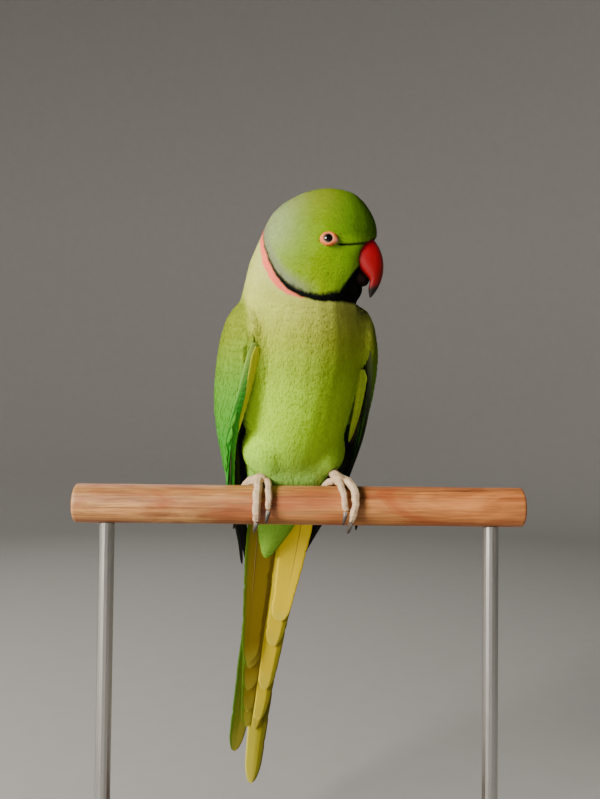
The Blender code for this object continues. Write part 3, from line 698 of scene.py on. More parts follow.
def wood(name, light, dark, roughness, stretch, left_end_shade=0.0):
    """Wood with its grain along X. The last argument says how much darker and redder it grows towards the bird's left,
    as painted shade.
    """
    shader = Shader(name, Roughness=roughness, Coat_Weight=0.12, Coat_Roughness=0.4)
    place = shader.place()

    def layer(stretch, *settings):
        return shader.noise(shader.stretched(place, stretch), 1.0, *settings)

    warp = layer((4, 20, 20), 2.0)
    rings = layer(stretch, 3.0, 0.6, 1.6)
    pores = layer((60, 2600, 2600), 3.0, 0.6)
    tone = shader.blend(light, dark, shader.span(rings, 0.38, 0.66, 0.0, 1.0))
    patches = layer((22, 60, 60), 3.0, 0.6, 0.8)
    worn = (1.3 * light[0], 1.35 * light[1], 1.5 * light[2])
    tone = shader.blend(tone, worn, shader.span(patches, 0.54, 0.66, 0.0, 0.55))
    red = (dark[0] * 1.05, dark[1] * 0.72, dark[2] * 0.6)
    tone = shader.blend(tone, red, shader.span(patches, 0.46, 0.34, 0.0, 0.6))
    grain = layer((16, 620, 620), 4.0, 0.65, 0.5)
    tone = shader.shaded(tone, 0.68, 1.14, shader.span(grain, 0.36, 0.56, 0.0, 1.0))
    cracks = layer((7, 420, 420), 3.0, 0.55, 0.9)
    line = shader.span(shader.math("ABSOLUTE", shader.math("SUBTRACT", cracks, 0.5)), 0.0, 0.02, 1.0, 0.0)
    line = shader.math("MULTIPLY", line, shader.span(warp, 0.46, 0.6, 0.0, 0.8))
    tone = shader.blend(tone, tuple(0.25 * part for part in dark), line)
    tone = shader.shaded(tone, 0.82, 1.12, warp)
    tone = shader.shaded(tone, 0.78, 1.04, shader.span(pores, 0.35, 0.55, 0.0, 1.0))
    along = shader.node("SeparateXYZ", {0: place}).outputs[0]
    # Painted shade: darker and redder towards the bird's left.
    shader.colour(shader.blend(tone, (1.0, 0.72, 0.5), shader.span(along, -0.03, 0.07, 0.0, left_end_shade), "MULTIPLY"))
    shader.bump(pores, 0.0001, 0.5)
    return shader.material


# ---------------------------------------------------------------- skin


def node_trees():
    """A search tree over each flesh node, to tell what part a point belongs to."""
    trees = {}
    for name in FLESH:
        verts, faces, _ = mesh_arrays(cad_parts[name])
        trees[name] = BVHTree.FromPolygons([Vector(v) for v in verts], faces)
    return trees


def flesh_fillers():
    """Balls that fill the eye sockets, the bill's root and the grooves that feathers close, in the row frame."""
    on_head = [(EYE_PLACE, 4.0), ((EYE_PLACE[0], -EYE_PLACE[1], EYE_PLACE[2]), 4.0)]
    on_head += [((14.5, 0, -6), 8.6), ((13.0, 0, -15), 7.6), ((17.0, 0, -11), 6.4), ((16.6, 0, -22.5), 7.2)]
    balls = [(head_to_row(place), radius) for place, radius in on_head]
    # Along the front edge of each wing: how far inward and back of the edge, and the radius, by height.
    reach = ((12.5, 8.6, 7.8, 4.3), (10.0, 6.3, 6.2, 5.6), (4.7, 7.2, 7.4, 7.8))
    for side, first, top, full in ((-1, 43.0, 98.0, 90), (1, 79.0, 92.0, 79)):
        balls.append((bird_to_row((21.5 * side, -11.0, top - 2.5)), 8.2))
        for z in np.arange(first, top, 3.0):
            x, y, _ = wing_place(side, z, 0.0)
            inward, back, radius = (np.interp(z, (40, 70, 78, full), values) for values in reach)
            balls.append((bird_to_row((x - inward * side, y + back, z)), radius))
    # Across the lower belly, behind the perch.
    balls += [(bird_to_row((x, 11.0, 14.5)), 10.0) for x in (-8.0, -4.0, 0.0, 4.0, 8.0)]
    balls += [(bird_to_row((x, 8.2, 23.5)), 10.8) for x in (-13.0, -8.0, -3.0, 3.0, 8.0, 13.0)]
    return balls


def joined_flesh():
    """One mesh of the flesh nodes, each swollen a little so that they touch, and of the fillers."""
    whole = bmesh.new()
    for name in FLESH:
        start = len(whole.verts)
        whole.from_mesh(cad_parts[name].data)
        whole.verts.ensure_lookup_table()
        whole.normal_update()
        moved = whole.verts[start:]
        offsets = [vert.normal * FLESH_SWELL * MM for vert in moved]
        for vert, offset in zip(moved, offsets):
            vert.co += offset
    for place, radius in flesh_fillers():
        centre = Matrix.Translation(Vector(place) * MM)
        bmesh.ops.create_uvsphere(whole, u_segments=24, v_segments=16, radius=radius * MM, matrix=centre)
    mesh = bpy.data.meshes.new("flesh")
    whole.to_mesh(mesh)
    whole.free()
    return mesh


def bill_distance(h):
    """How far points of the head frame are from the bill's root."""
    return np.linalg.norm(h - BILL_ROOT, axis=-1)


def eye_distance(h):
    """How far points of the head frame are from the nearer eye."""
    mirrored = np.stack([h[..., 0], np.abs(h[..., 1]), h[..., 2]], -1)
    return np.linalg.norm(mirrored - EYE_OUTER, axis=-1)


def coat_depth(p):
    """How thick the coat is at points, in millimetres."""
    h = row_to_head(p)
    depth = BODY_COAT + (HEAD_COAT - BODY_COAT) * step(100, 118, row_to_bird(p)[..., 2])
    return depth * (0.55 + 0.45 * step(9, 20, bill_distance(h))) * (0.6 + 0.4 * step(4.5, 10, eye_distance(h)))


def make_skin(materials, trees):
    """One skin over the flesh nodes, drawn in by the depth of the coat, a little uneven under the body's feathers."""
    obj = placed("skin", joined_flesh())
    reshaped(obj, 9, SKIN_VOXEL)
    verts, _, normals = mesh_arrays(obj)
    labels = part_labels(verts, trees)
    on_wing = np.char.startswith(labels, "wing")
    depth = np.where(on_wing, WING_COAT, coat_depth(verts)) + FLESH_SWELL
    b = row_to_bird(verts)
    clumps = value_noise(b, 7.5, 11, (1.0, 1.0, 0.4)) + 0.5 * value_noise(b, 3.5, 14, (1.0, 1.0, 0.6))
    depth = depth + np.where(on_wing, 0.0, 0.14 * (clumps + 0.6) * step(114, 104, b[:, 2]))
    move_points(obj.data, verts - normals * depth[:, None])
    reshaped(obj, 3)
    verts = mesh_arrays(obj)[0]
    finished(obj, np.where(on_wing[:, None], wing_colour(verts), markings(verts)) * 0.75, materials["skin"])
    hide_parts(*FLESH)
    return obj, labels


def part_labels(points, trees):
    """The name of the flesh node nearest to each point."""
    names = list(trees)
    distances = np.empty((len(names), len(points)))
    vectors = [Vector(p) for p in points]
    for row, name in enumerate(names):
        find = trees[name].find_nearest
        distances[row] = [find(v, FOUND_WITHIN)[3] or NOT_FOUND for v in vectors]
    return np.array(names)[distances.argmin(0)]


# ---------------------------------------------------------------- coat


def bake_place(roots, island):
    """Where tufts sit on an unwrap of the skin: round it by angle, up it by height, wings apart."""
    b = row_to_bird(roots)
    z = b[:, 2]
    turn = np.arctan2(b[:, 0], -(b[:, 1] - body_middle(z))) / (2 * math.pi) + 0.5
    left, width = BAKE_ISLANDS[island]
    if island != "body":
        turn = np.clip((np.abs(turn - 0.5) - 0.08) / 0.4, 0, 1)
    return np.stack([left + width * turn, 0.01 + 0.97 * (z + 50) / 210], -1)


def fan_tuft(barbs, rng, ragged):
    """A soft feather as a fan of narrow blades: along, across, height, and faces."""
    along, across, height, quads, tris = [], [], [], [], []
    for i in range(-barbs, barbs + 1):
        angle = FAN_SPREAD * i / barbs * (1 + 0.03 * rng.uniform(-1, 1))
        reach = 1 + ragged * rng.uniform(-1, 0.4)
        tip = np.array([0.46 + 0.54 * math.cos(angle) * reach, math.sin(angle) * reach])
        root = np.array([max(0.0, tip[0] - 0.36 - 0.22 * abs(tip[1])), 0.0])
        middle = root + (tip - root) * 0.62 + np.array([0.02, 0.05 * np.sign(i) * abs(tip[1])])
        ahead = (tip - root) / np.linalg.norm(tip - root)
        side = np.array([-ahead[1], ahead[0]])
        half = 0.62 * FAN_SPREAD / barbs * (0.55 + 0.45 * abs(math.sin(angle)))
        lift = 0.03 * rng.uniform(-1, 1)
        base = len(along)
        for place, wide, up in ((root, 0.35, 0.0), (root, -0.35, 0.0), (middle, 1.0, lift), (middle, -1.0, lift)):
            along.append(place[0] + side[0] * half * wide)
            across.append(place[1] + side[1] * half * wide)
            height.append(up)
        along.append(tip[0])
        across.append(tip[1])
        height.append(-0.05 + lift)
        quads.append((base, base + 2, base + 3, base + 1))
        tris.append((base + 2, base + 4, base + 3))
    return np.array(along), np.array(across), np.array(height), np.array(quads), np.array(tris)


def body_flow(p, normals):
    """The lie of the feathers: away from the bill on the head, then down the body to the tail."""
    b, h = row_to_bird(p), row_to_head(p)
    from_bill = h - LIE_FROM
    distance = np.linalg.norm(from_bill, axis=-1, keepdims=True)
    drop = 0.15 + 1.1 * step(24, 46, distance)
    head_way = unit(from_bill) + drop * np.array([0.0, 0.0, -1.0])
    head_way = head_to_bird_direction(head_way)
    body_way = unit(LIE_TO - b) + np.array([0.0, 0.0, -0.8])
    by_wing = step(12, 22, np.abs(b[:, 0])) * step(10, -4, b[:, 1]) * step(60, 68, b[:, 2])
    body_way = mix(body_way, np.array([0.0, 0.0, -1.5]), by_wing)
    share = step(104, 120, b[:, 2])[:, None]
    way = turned(unit(head_way) * share + unit(body_way) * (1 - share), BODY_TURN)
    way = way - normals * dot(way, normals)
    return unit(way)


class Surface:
    """The skin as a surface to scatter over and to walk on."""

    def __init__(self, obj, labels):
        self.verts, self.faces, normals = mesh_arrays(obj)
        self.tree = BVHTree.FromPolygons([Vector(v) for v in self.verts], self.faces)
        corners = np.array([face if len(face) == 4 else (*face, face[2]) for face in self.faces])
        self.corners = corners
        self.normals = unit(normals[corners].mean(1))
        self.labels = labels[corners[:, 0]]
        a, b, c, d = (self.verts[corners[:, k]] for k in range(4))
        self.areas = 0.5 * (
            np.linalg.norm(np.cross(b - a, c - a), axis=1) + np.linalg.norm(np.cross(c - a, d - a), axis=1)
        )

    def nearest(self, points):
        """Nearest points of the skin and its normals there."""
        found = [self.tree.find_nearest(Vector(p)) for p in points]
        faces = np.array([hit[2] for hit in found])
        return np.array([hit[0][:] for hit in found]), self.normals[faces]

    def scatter(self, wanted, spacing, rng):
        """Random roots on wanted faces, no two nearer than the local spacing."""
        faces = np.flatnonzero(wanted)
        middles = self.verts[self.corners[faces]].mean(1)
        gap = spacing(middles)
        weights = self.areas[faces] / gap**2
        count = int(ROOT_TRIES * weights.sum())
        chosen = rng.choice(faces, count, p=weights / weights.sum())
        u, v = rng.random((2, count, 1))
        a, b, c, d = (self.verts[self.corners[chosen, k]] for k in range(4))
        points = (a * (1 - u) + b * u) * (1 - v) + (d * (1 - u) + c * u) * v
        gaps = spacing(points)
        tree = KDTree(count)
        for i, p in enumerate(points):
            tree.insert(p, i)
        tree.balance()
        blocked = np.zeros(count, bool)
        kept = []
        for i in range(count):
            if blocked[i]:
                continue
            kept.append(i)
            for _, j, _ in tree.find_range(points[i], gaps[i]):
                blocked[j] = True
        return points[kept], self.normals[chosen[kept]]


def lay_feathers(surface, roots, normals, length, depth, rng, stations=5):
    """Centre lines that walk over the skin from roots, with the side and up directions along them."""
    count = len(roots)
    points, ups = [roots], [normals]
    turn = rng.normal(0, 0.10, (count, 1)) + 0.12 * value_noise(roots, 9.0, 3)[:, None]
    for _ in range(stations - 1):
        p, n = points[-1], ups[-1]
        way = body_flow(p, n)
        way = unit(way + np.cross(n, way) * turn)
        p, n = surface.nearest(p + way * (length / (stations - 1))[:, None])
        points.append(p)
        ups.append(unit(n + 0.6 * ups[-1]))
    line = np.stack(points, 1)
    up = np.stack(ups, 1)
    t = np.linspace(0, 1, stations)
    rise = depth[:, None] * (0.30 + 0.95 * t - 0.37 * t**2)
    ahead = unit(np.gradient(line, axis=1))
    side = unit(np.cross(up, ahead))
    return line + up * rise[..., None], side, up


def dress(parts, template, line, side, up, width, cup, bake, tone, round_off):
    """Add one feather per centre line, shaped by a template, with marked colours.

    Its normals follow the skin more than the barbs, so that the plumage reads as one soft surface.
    """
    along, across, height, quads, tris = template
    stations = line.shape[1]
    at = np.clip(along, 0, 1) * (stations - 1)
    low = np.minimum(at.astype(int), stations - 2)
    share = (at - low)[None, :, None]
    beyond = np.maximum(along - 1, 0)[None, :, None]

    def along_line(values):
        return values[:, low] * (1 - share) + values[:, low + 1] * share

    ahead = unit(line[:, -1:] - line[:, :1])
    if right_handed(ahead[:, 0], side[:, 0], up[:, 0]):
        quads, tris = quads[:, ::-1], tris[:, ::-1]
    centre = along_line(line) + beyond * (line[:, -1:] - line[:, -2:-1]) * (stations - 1)
    sides, ups = along_line(side), along_line(up)
    x = across[None, :, None] * (width / 2)[:, None, None]
    drop = -(x**2) / (2 * cup[:, None, None])
    verts = centre + sides * x + ups * (drop + height[None, :, None] * width[:, None, None])
    tilt = round_off * (sides * across[None, :, None] * 0.6 + ahead * (along - 0.55)[None, :, None])
    count, size = verts.shape[:2]
    offsets = (np.arange(count) * size)[:, None, None]
    patch = np.stack([across * 0.5, along - 0.5], -1) * TUFT_PATCH
    parts.add(
        verts.reshape(-1, 3),
        (quads[None] + offsets).reshape(-1, 4),
        (tris[None] + offsets).reshape(-1, 3),
        colours=tone(verts, along).reshape(-1, 3),
        bake=(bake[:, None, :] + patch[None]).reshape(-1, 2),
        normals=unit(ups + tilt).reshape(-1, 3),
    )


def tufts(barbs, rng, ragged):
    return [fan_tuft(barbs, rng, ragged) for _ in range(TUFT_SHAPES)]


def clothe(name, rng, line, side, up, width, cup, island, barbs, ragged, spread, colour, round_off, material):
    """One object of feathers on given lines, in a few shapes, each feather a little lighter or darker."""
    templates = tufts(barbs, rng, ragged)
    pick = rng.integers(0, TUFT_SHAPES, len(line))
    parts = Parts()
    for k, template in enumerate(templates):
        some = pick == k
        light = rng.normal(1.0, spread, some.sum())[:, None, None]

        def tone(verts, along):
            return colour(verts, along) * light

        cups = np.full(some.sum(), cup)
        bake = bake_place(line[some, 0], island)
        dress(parts, template, line[some], side[some], up[some], width[some], cups, bake, tone, round_off)
    parts.build(name, material)


def coat_sizes(p):
    """Spacing of the body's feathers at points: finest round the bill and eyes, widest on the belly."""
    b, h = row_to_bird(p), row_to_head(p)
    z = b[..., 2]
    face = np.minimum(step(7, 24, bill_distance(h)), 0.2 + 0.8 * step(4.5, 14, eye_distance(h)))
    on_head = 0.58 + 0.34 * face
    gap = np.interp(z, (-45, 0, 20, 60, 90, 104, 116), (1.5, 1.5, 1.45, 1.5, 1.4, 1.2, 0.95))
    gap = np.where(z > HEAD_FROM, np.minimum(gap, on_head), gap)
    _, out, black, pink = head_markings(h)
    by_collar = step(4.5, 0.6, np.abs(out - 0.5 * (black + pink)) - 0.5 * (black + pink)) * step(94, 98, z)
    return np.minimum(gap, gap + (0.6 - gap) * by_collar)


def make_coat(surface, materials):
    """The small feathers of head, neck, breast, belly and back, in pieces by height."""
    rng = np.random.default_rng(7)
    middles = surface.verts[surface.corners].mean(1)
    h = row_to_head(middles)
    bare_eye = np.hypot((h[:, 0] - EYE_PLACE[0] - 0.1) / 3.7, (h[:, 2] - EYE_PLACE[2] + 0.1) / 3.1) < 1
    bare_eye &= np.abs(h[:, 1]) > 10
    wings = np.char.startswith(surface.labels, "wing")
    b = row_to_bird(middles)
    height = b[:, 2]
    wing_front = np.interp(height, (40, 66, 76, 94, 99), (-0.10, -0.03, 0.02, 0.02, 1.2))
    overlap = wings & (wing_share(b) < wing_front) & (height > 38)
    roots, normals = surface.scatter(~bare_eye & (~wings | overlap) & (height > -14), coat_sizes, rng)
    z = row_to_bird(roots)[:, 2]
    gap = coat_sizes(roots)
    on_body = step(118, 100, z)
    length = gap * (5.0 + 1.0 * on_body)
    width = gap * (2.3 + 0.9 * on_body)
    depth = coat_depth(roots)
    small, large = tufts(5, rng, 0.12), tufts(8, rng, 0.10)
    pick = rng.integers(0, TUFT_SHAPES, len(roots))
    below, above = z[z < HEAD_FROM], z[z >= HEAD_FROM]
    edges = [-60, *np.quantile(below, (0.25, 0.5, 0.75)), HEAD_FROM, *np.quantile(above, (0.34, 0.67)), 220]
    for band, (low, high) in enumerate(zip(edges[:-1], edges[1:])):
        parts = Parts()
        for k, template in enumerate(large if low < HEAD_FROM else small):
            some = (pick == k) & (z >= low) & (z < high)
            if not some.any():
                continue
            line, side, up = lay_feathers(surface, roots[some], normals[some], length[some], depth[some], rng)
            light = rng.normal(1.0, 0.035, some.sum())[:, None, None]

            def tone(verts, along):
                shade = 0.93 + 0.09 * np.clip(along, 0, 1)[None, :, None]
                return markings(verts) * shade * light

            cup = np.where(z[some] > HEAD_FROM, 14.0, 22.0)
            bake = bake_place(roots[some], "body")
            dress(parts, template, line, side, up, width[some], cup, bake, tone, 0.2)
        parts.build(f"coat_{band + 1}", materials["plumage"])


def wedge_place(z, turn, inset):
    """A point on the lower end of the body, turn degrees round from straight ahead towards the bird's left."""
    left, back, long, wide = sections_at(WEDGE_SECTIONS, z)
    a = np.radians(turn)
    x = left - 1.0 * step(-18, -40, z) + np.maximum(wide - inset, 0.2) * np.sin(a)
    return np.stack([x, back - np.maximum(long - inset, 0.2) * np.cos(a), np.broadcast_to(z, x.shape)], -1)


def make_tail_coverts(materials):
    """The long silky feathers that run down over the roots of the tail, before and behind it."""
    rng = np.random.default_rng(70)
    roots = []
    for row, level in enumerate(np.arange(2.0, -33.0, -1.5)):
        wide = np.interp(-level, (0, 8, 22, 30, 36), (18, 14, 9, 6, 4))
        count = int(wide * 3.6)
        turn = (np.arange(count) + 0.5 * (row % 2) + 0.25 * rng.uniform(-1, 1, count)) / count * 360 - 180
        roots.append(np.stack([level + 0.6 * rng.uniform(-1, 1, count), turn], -1))
    z, turn = np.concatenate(roots).T
    t = np.linspace(0, 1, 6)[None, :]
    length = np.interp(z, (-36, -20, 2), (7.0, 11.0, 12.0))[:, None] * (1 + 0.1 * rng.uniform(-1, 1, (len(z), 1)))
    levels = np.maximum(z[:, None] - length * t, COVERTS_LOWEST)
    turns = turn[:, None] * (1 - 0.12 * t) + 5 * rng.normal(size=(len(z), 1)) * t
    line = wedge_place(levels, turns, 1.4 - 1.1 * t)
    beside = wedge_place(levels, turns + 4, 1.4 - 1.1 * t) - line
    ahead, across = square_to(line, beside)
    up = np.cross(ahead, across)
    out = line - wedge_place(levels, turns, 6.0)
    up = unit(up * np.sign(dot(up, out)))
    line, across, up = lines_to_row(line, across, up)
    width = np.interp(z, (-36, -20, 2), (2.6, 4.2, 5.0))

    def colour(verts, along):
        return markings(verts) * (0.86 + 0.18 * np.clip(along, 0, 1)[None, :, None])

    clothe(
        "tail_coverts", rng, line, across, up, width, 12.0, "body",
        barbs=10, ragged=0.08, spread=0.05, colour=colour, round_off=0.35, material=materials["plumage"],
    )


# ---------------------------------------------------------------- wings


def wing_colour(p):
    """The colour of a folded wing's outer side: olive at the shoulder, grass green below."""
    b = row_to_bird(p)
    z, y = b[..., 2], b[..., 1]
    colour = ramp(z, WING_COLOURS)
    return mix(colour, srgb("4f8a2c"), 0.5 * step(5, 25, y) * step(100, 80, z))


def wing_place(side, z, share, inset=0.0):
    """A point of the folded wing's outer side in the bird frame, share of the way from front to back."""
    z, share = np.broadcast_arrays(np.asarray(z, float), np.asarray(share, float))
    left, right, middle, back_reach, front, back = sections_at(WING_SECTIONS, z)
    angle = np.radians(front + (back - front) * share)
    x = side * ((left if side > 0 else right) - inset) * np.cos(angle)
    y = middle + (back_reach - inset) * np.sin(angle)
    return np.stack([x, y, z], -1)


def wing_share(b):
    """How far back on its wing each point of the bird frame lies, by the angle round the wing's middle."""
    left, right, middle, back_reach, front, back = sections_at(WING_SECTIONS, b[:, 2])
    reach = np.where(b[:, 0] > 0, left, right)
    angle = np.degrees(np.arctan2((b[:, 1] - middle) / back_reach, np.abs(b[:, 0]) / reach))
    return (angle - front) / (back - front)


def wing_lines(side, z, share, inset, stations, edge=None):
    """Centre lines of feathers on a folded wing, with the directions across and out of each, in the row frame.

    z, share and inset are pairs, at the roots and at the tips, of arrays or of one value for all. With edge,
    the feathers lie along the wing's front edge and face forward, and edge says how far they turn outwards.
    """
    t = np.linspace(0, 1, stations)[None, :]

    def between(pair):
        root, tip = (np.atleast_1d(end)[:, None] for end in pair)
        return root * (1 - t) + tip * t

    z, share, inset = map(between, (z, share, inset))
    line = wing_place(side, z, share, inset)
    back = wing_place(side, z, share + 0.02, inset) - wing_place(side, z, share - 0.02, inset)
    ahead, back = square_to(line, back)
    out = np.cross(ahead, back)
    out = out * np.sign(dot(out, np.array([side, 0.3, 0.0])))
    across, up = (back, out) if edge is None else (unit(-out - edge * back), unit(edge * out - back))
    return lines_to_row(line, across, up)


def covert_line(y):
    """The height where the small coverts end on the wing, by how far back it is."""
    at, normal = WING_COVERT_CUT
    return at[2] - (y - at[1]) * normal[1] / normal[2]


def vane_shape(t, tip, rise=0.3, taper=0.42, root=0.12):
    """How wide a long feather is along its length."""
    grow = rise + (1 - rise) * np.sin(np.minimum(t / root, 1.0) * np.pi / 2) ** 1.5
    narrow = 1.0 - taper * np.maximum(0.0, t - 0.35) / 0.65
    end = np.sqrt(np.maximum(0.0, 1.0 - (np.maximum(0.0, t - tip) / (1 - tip)) ** 2))
    return grow * narrow * end


def vane_feather(parts, line, side, up, inner, outer, thick, tone, rng, bake, cup=40.0, across=5, notches=5, shaft=0.5):
    """A long feather as a thin closed vane with broken edges, and a raised shaft down it.

    inner and outer are the half widths along it, tone(t, x, top) gives its colours, where x runs from -1 to 1.
    """
    stations = len(line)
    t = np.linspace(0, 1, stations)
    length = np.concatenate([[0], np.cumsum(np.linalg.norm(np.diff(line, axis=0), axis=1))])
    edges = []
    for half in (inner, outer):
        cut = 1 + 0.025 * np.interp(t * 30, np.arange(31), rng.uniform(-1, 1, 31))
        for _ in range(notches):
            at, deep = rng.uniform(0.35, 0.93), rng.uniform(0.04, 0.12)
            cut = cut - deep * np.clip(1 - np.abs(t - at) / 0.014, 0, 1)
        edges.append(half * cut)
    x = np.concatenate([np.linspace(-1, 0, across + 1)[:-1], np.linspace(0, 1, across + 1)])
    wide = np.where(x[None, :] < 0, edges[0][:, None], edges[1][:, None]) * x[None, :]
    columns = len(x)
    body = line[:, None, :] + side[:, None, :] * wide[..., None]
    rise = -(wide**2) / (2 * cup)
    half_thick = thick / 2 * (1 - 0.8 * np.abs(x[None, :]) ** 3)
    top = body + up[:, None, :] * (rise + half_thick)[..., None]
    bottom = body + up[:, None, :] * (rise - half_thick)[..., None]
    verts = np.concatenate([top.reshape(-1, 3), bottom.reshape(-1, 3)])
    size = stations * columns
    upper = grid_quads(stations, columns)
    lower = grid_quads(stations, columns, first=size)[:, ::-1]
    r = np.arange(stations - 1) * columns
    left = np.stack([r, r + columns, r + columns + size, r + size], -1)
    q = r + columns - 1
    right = np.stack([q + size, q + columns + size, q + columns, q], -1)
    c = np.arange(columns - 1)
    head = np.stack([c + 1, c, c + size, c + 1 + size], -1)
    last = (stations - 1) * columns + c
    foot = np.stack([last, last + 1, last + 1 + size, last + size], -1)
    quads = np.concatenate([upper, lower, left, right, head, foot])
    if right_handed(line[1] - line[0], side[0], up[0]):
        quads = quads[:, ::-1]
    tt = np.repeat(t[:, None], columns, 1)
    xx = np.repeat(x[None, :], stations, 0)
    colours = np.concatenate([tone(tt, xx, True).reshape(-1, 3), tone(tt, xx, False).reshape(-1, 3)])
    vane = np.stack([wide, np.repeat(length[:, None], columns, 1)], -1).reshape(-1, 2)
    patch = np.stack([xx * 0.5, tt - 0.5], -1).reshape(-1, 2) * TUFT_PATCH
    patch, vane = np.tile(patch, (2, 1)) + bake, np.tile(vane, (2, 1))
    parts.add(verts, quads, (), colours=colours, bake=patch, vane=vane)
    if shaft:
        keep = t < 0.97
        radii = shaft * (1 - 0.75 * t[keep])
        shaft_verts, shaft_quads, shaft_tris = closed_tube(tube_rings(line[keep], radii, 8, side[0]))
        shade = tone(np.append(np.repeat(t[keep], 8), [0, 1]), np.zeros(len(shaft_verts)), False)
        shade = mix(shade, srgb("7a6450"), 0.6)
        parts.add(shaft_verts, shaft_quads, shaft_tris, colours=shade, bake=bake, vane=np.zeros(2))


def flight_tone(outer_hex, inner_hex, under_hex, light, edge_hex=None):
    """Colours of a flight feather: outer web, inner web and underside."""
    outer, inner, under = srgb(outer_hex), srgb(inner_hex), srgb(under_hex)

    def tone(t, x, top):
        shape = (*np.shape(t), 3)
        if not top:
            return np.broadcast_to(under * light, shape).copy()
        colour = mix(inner, outer, step(-0.2, 0.1, x))
        if edge_hex:
            colour = mix(colour, srgb(edge_hex), 0.7 * np.maximum(step(0.78, 1.0, np.abs(x)), step(0.965, 0.99, t)))
        return colour * light

    return tone


def make_wing_coverts(side_name, side, materials):
    """The small coverts that clothe the shoulder, in rows that grow larger down the wing."""
    rng = np.random.default_rng(20 + side)
    roots, sizes = [], []
    rows = 26
    for row in range(rows):
        r = row / (rows - 1)
        gap = 1.5 + 1.9 * r
        shares = np.linspace(0, 1, 60)
        top = 103.5 - 2.0 * r
        bottom = covert_line(wing_place(side, 40.0, shares)[:, 1]) + 7.0
        heights = top + (bottom - top) * r
        arc = wing_place(side, heights, shares)
        reach = np.concatenate([[0], np.cumsum(np.linalg.norm(np.diff(arc, axis=0), axis=1))])
        count = max(3, int(reach[-1] / (gap * 0.9)))
        marks = (np.arange(count) + 0.5 * (row % 2)) / (count - 0.5) * reach[-1]
        share = np.interp(marks, reach, shares) + 0.02 * rng.uniform(-1, 1, count)
        level = np.interp(share, shares, heights) + 0.45 * gap * rng.uniform(-1, 1, count)
        keep = share > 0.02 * step(80, 98, level)
        roots.append(np.stack([level, share], -1)[keep])
        sizes.append(np.full(keep.sum(), gap))
    roots, gap = np.concatenate(roots), np.concatenate(sizes)
    z, share = roots.T
    length, width = gap * 3.6, gap * 2.3
    jitter = 0.012 * rng.normal(size=(2, len(z)))
    shares = (share, share + 0.02 + jitter[0])
    line, across, up = wing_lines(side, (z, z - length), shares, (1.0, 0.1 + 0.1 * jitter[1]), 6)

    def colour(verts, along):
        rim = step(0.8, 1.0, along)[None, :, None]
        return wing_colour(verts) * (0.93 + 0.07 * np.clip(along, 0, 1)[None, :, None] + 0.07 * rim)

    clothe(
        f"wing_{side_name}_small_coverts", rng, line, across, up, width, 18.0, side_name,
        barbs=9, ragged=0.05, spread=0.04, colour=colour, round_off=0.5, material=materials["plumage"],
    )


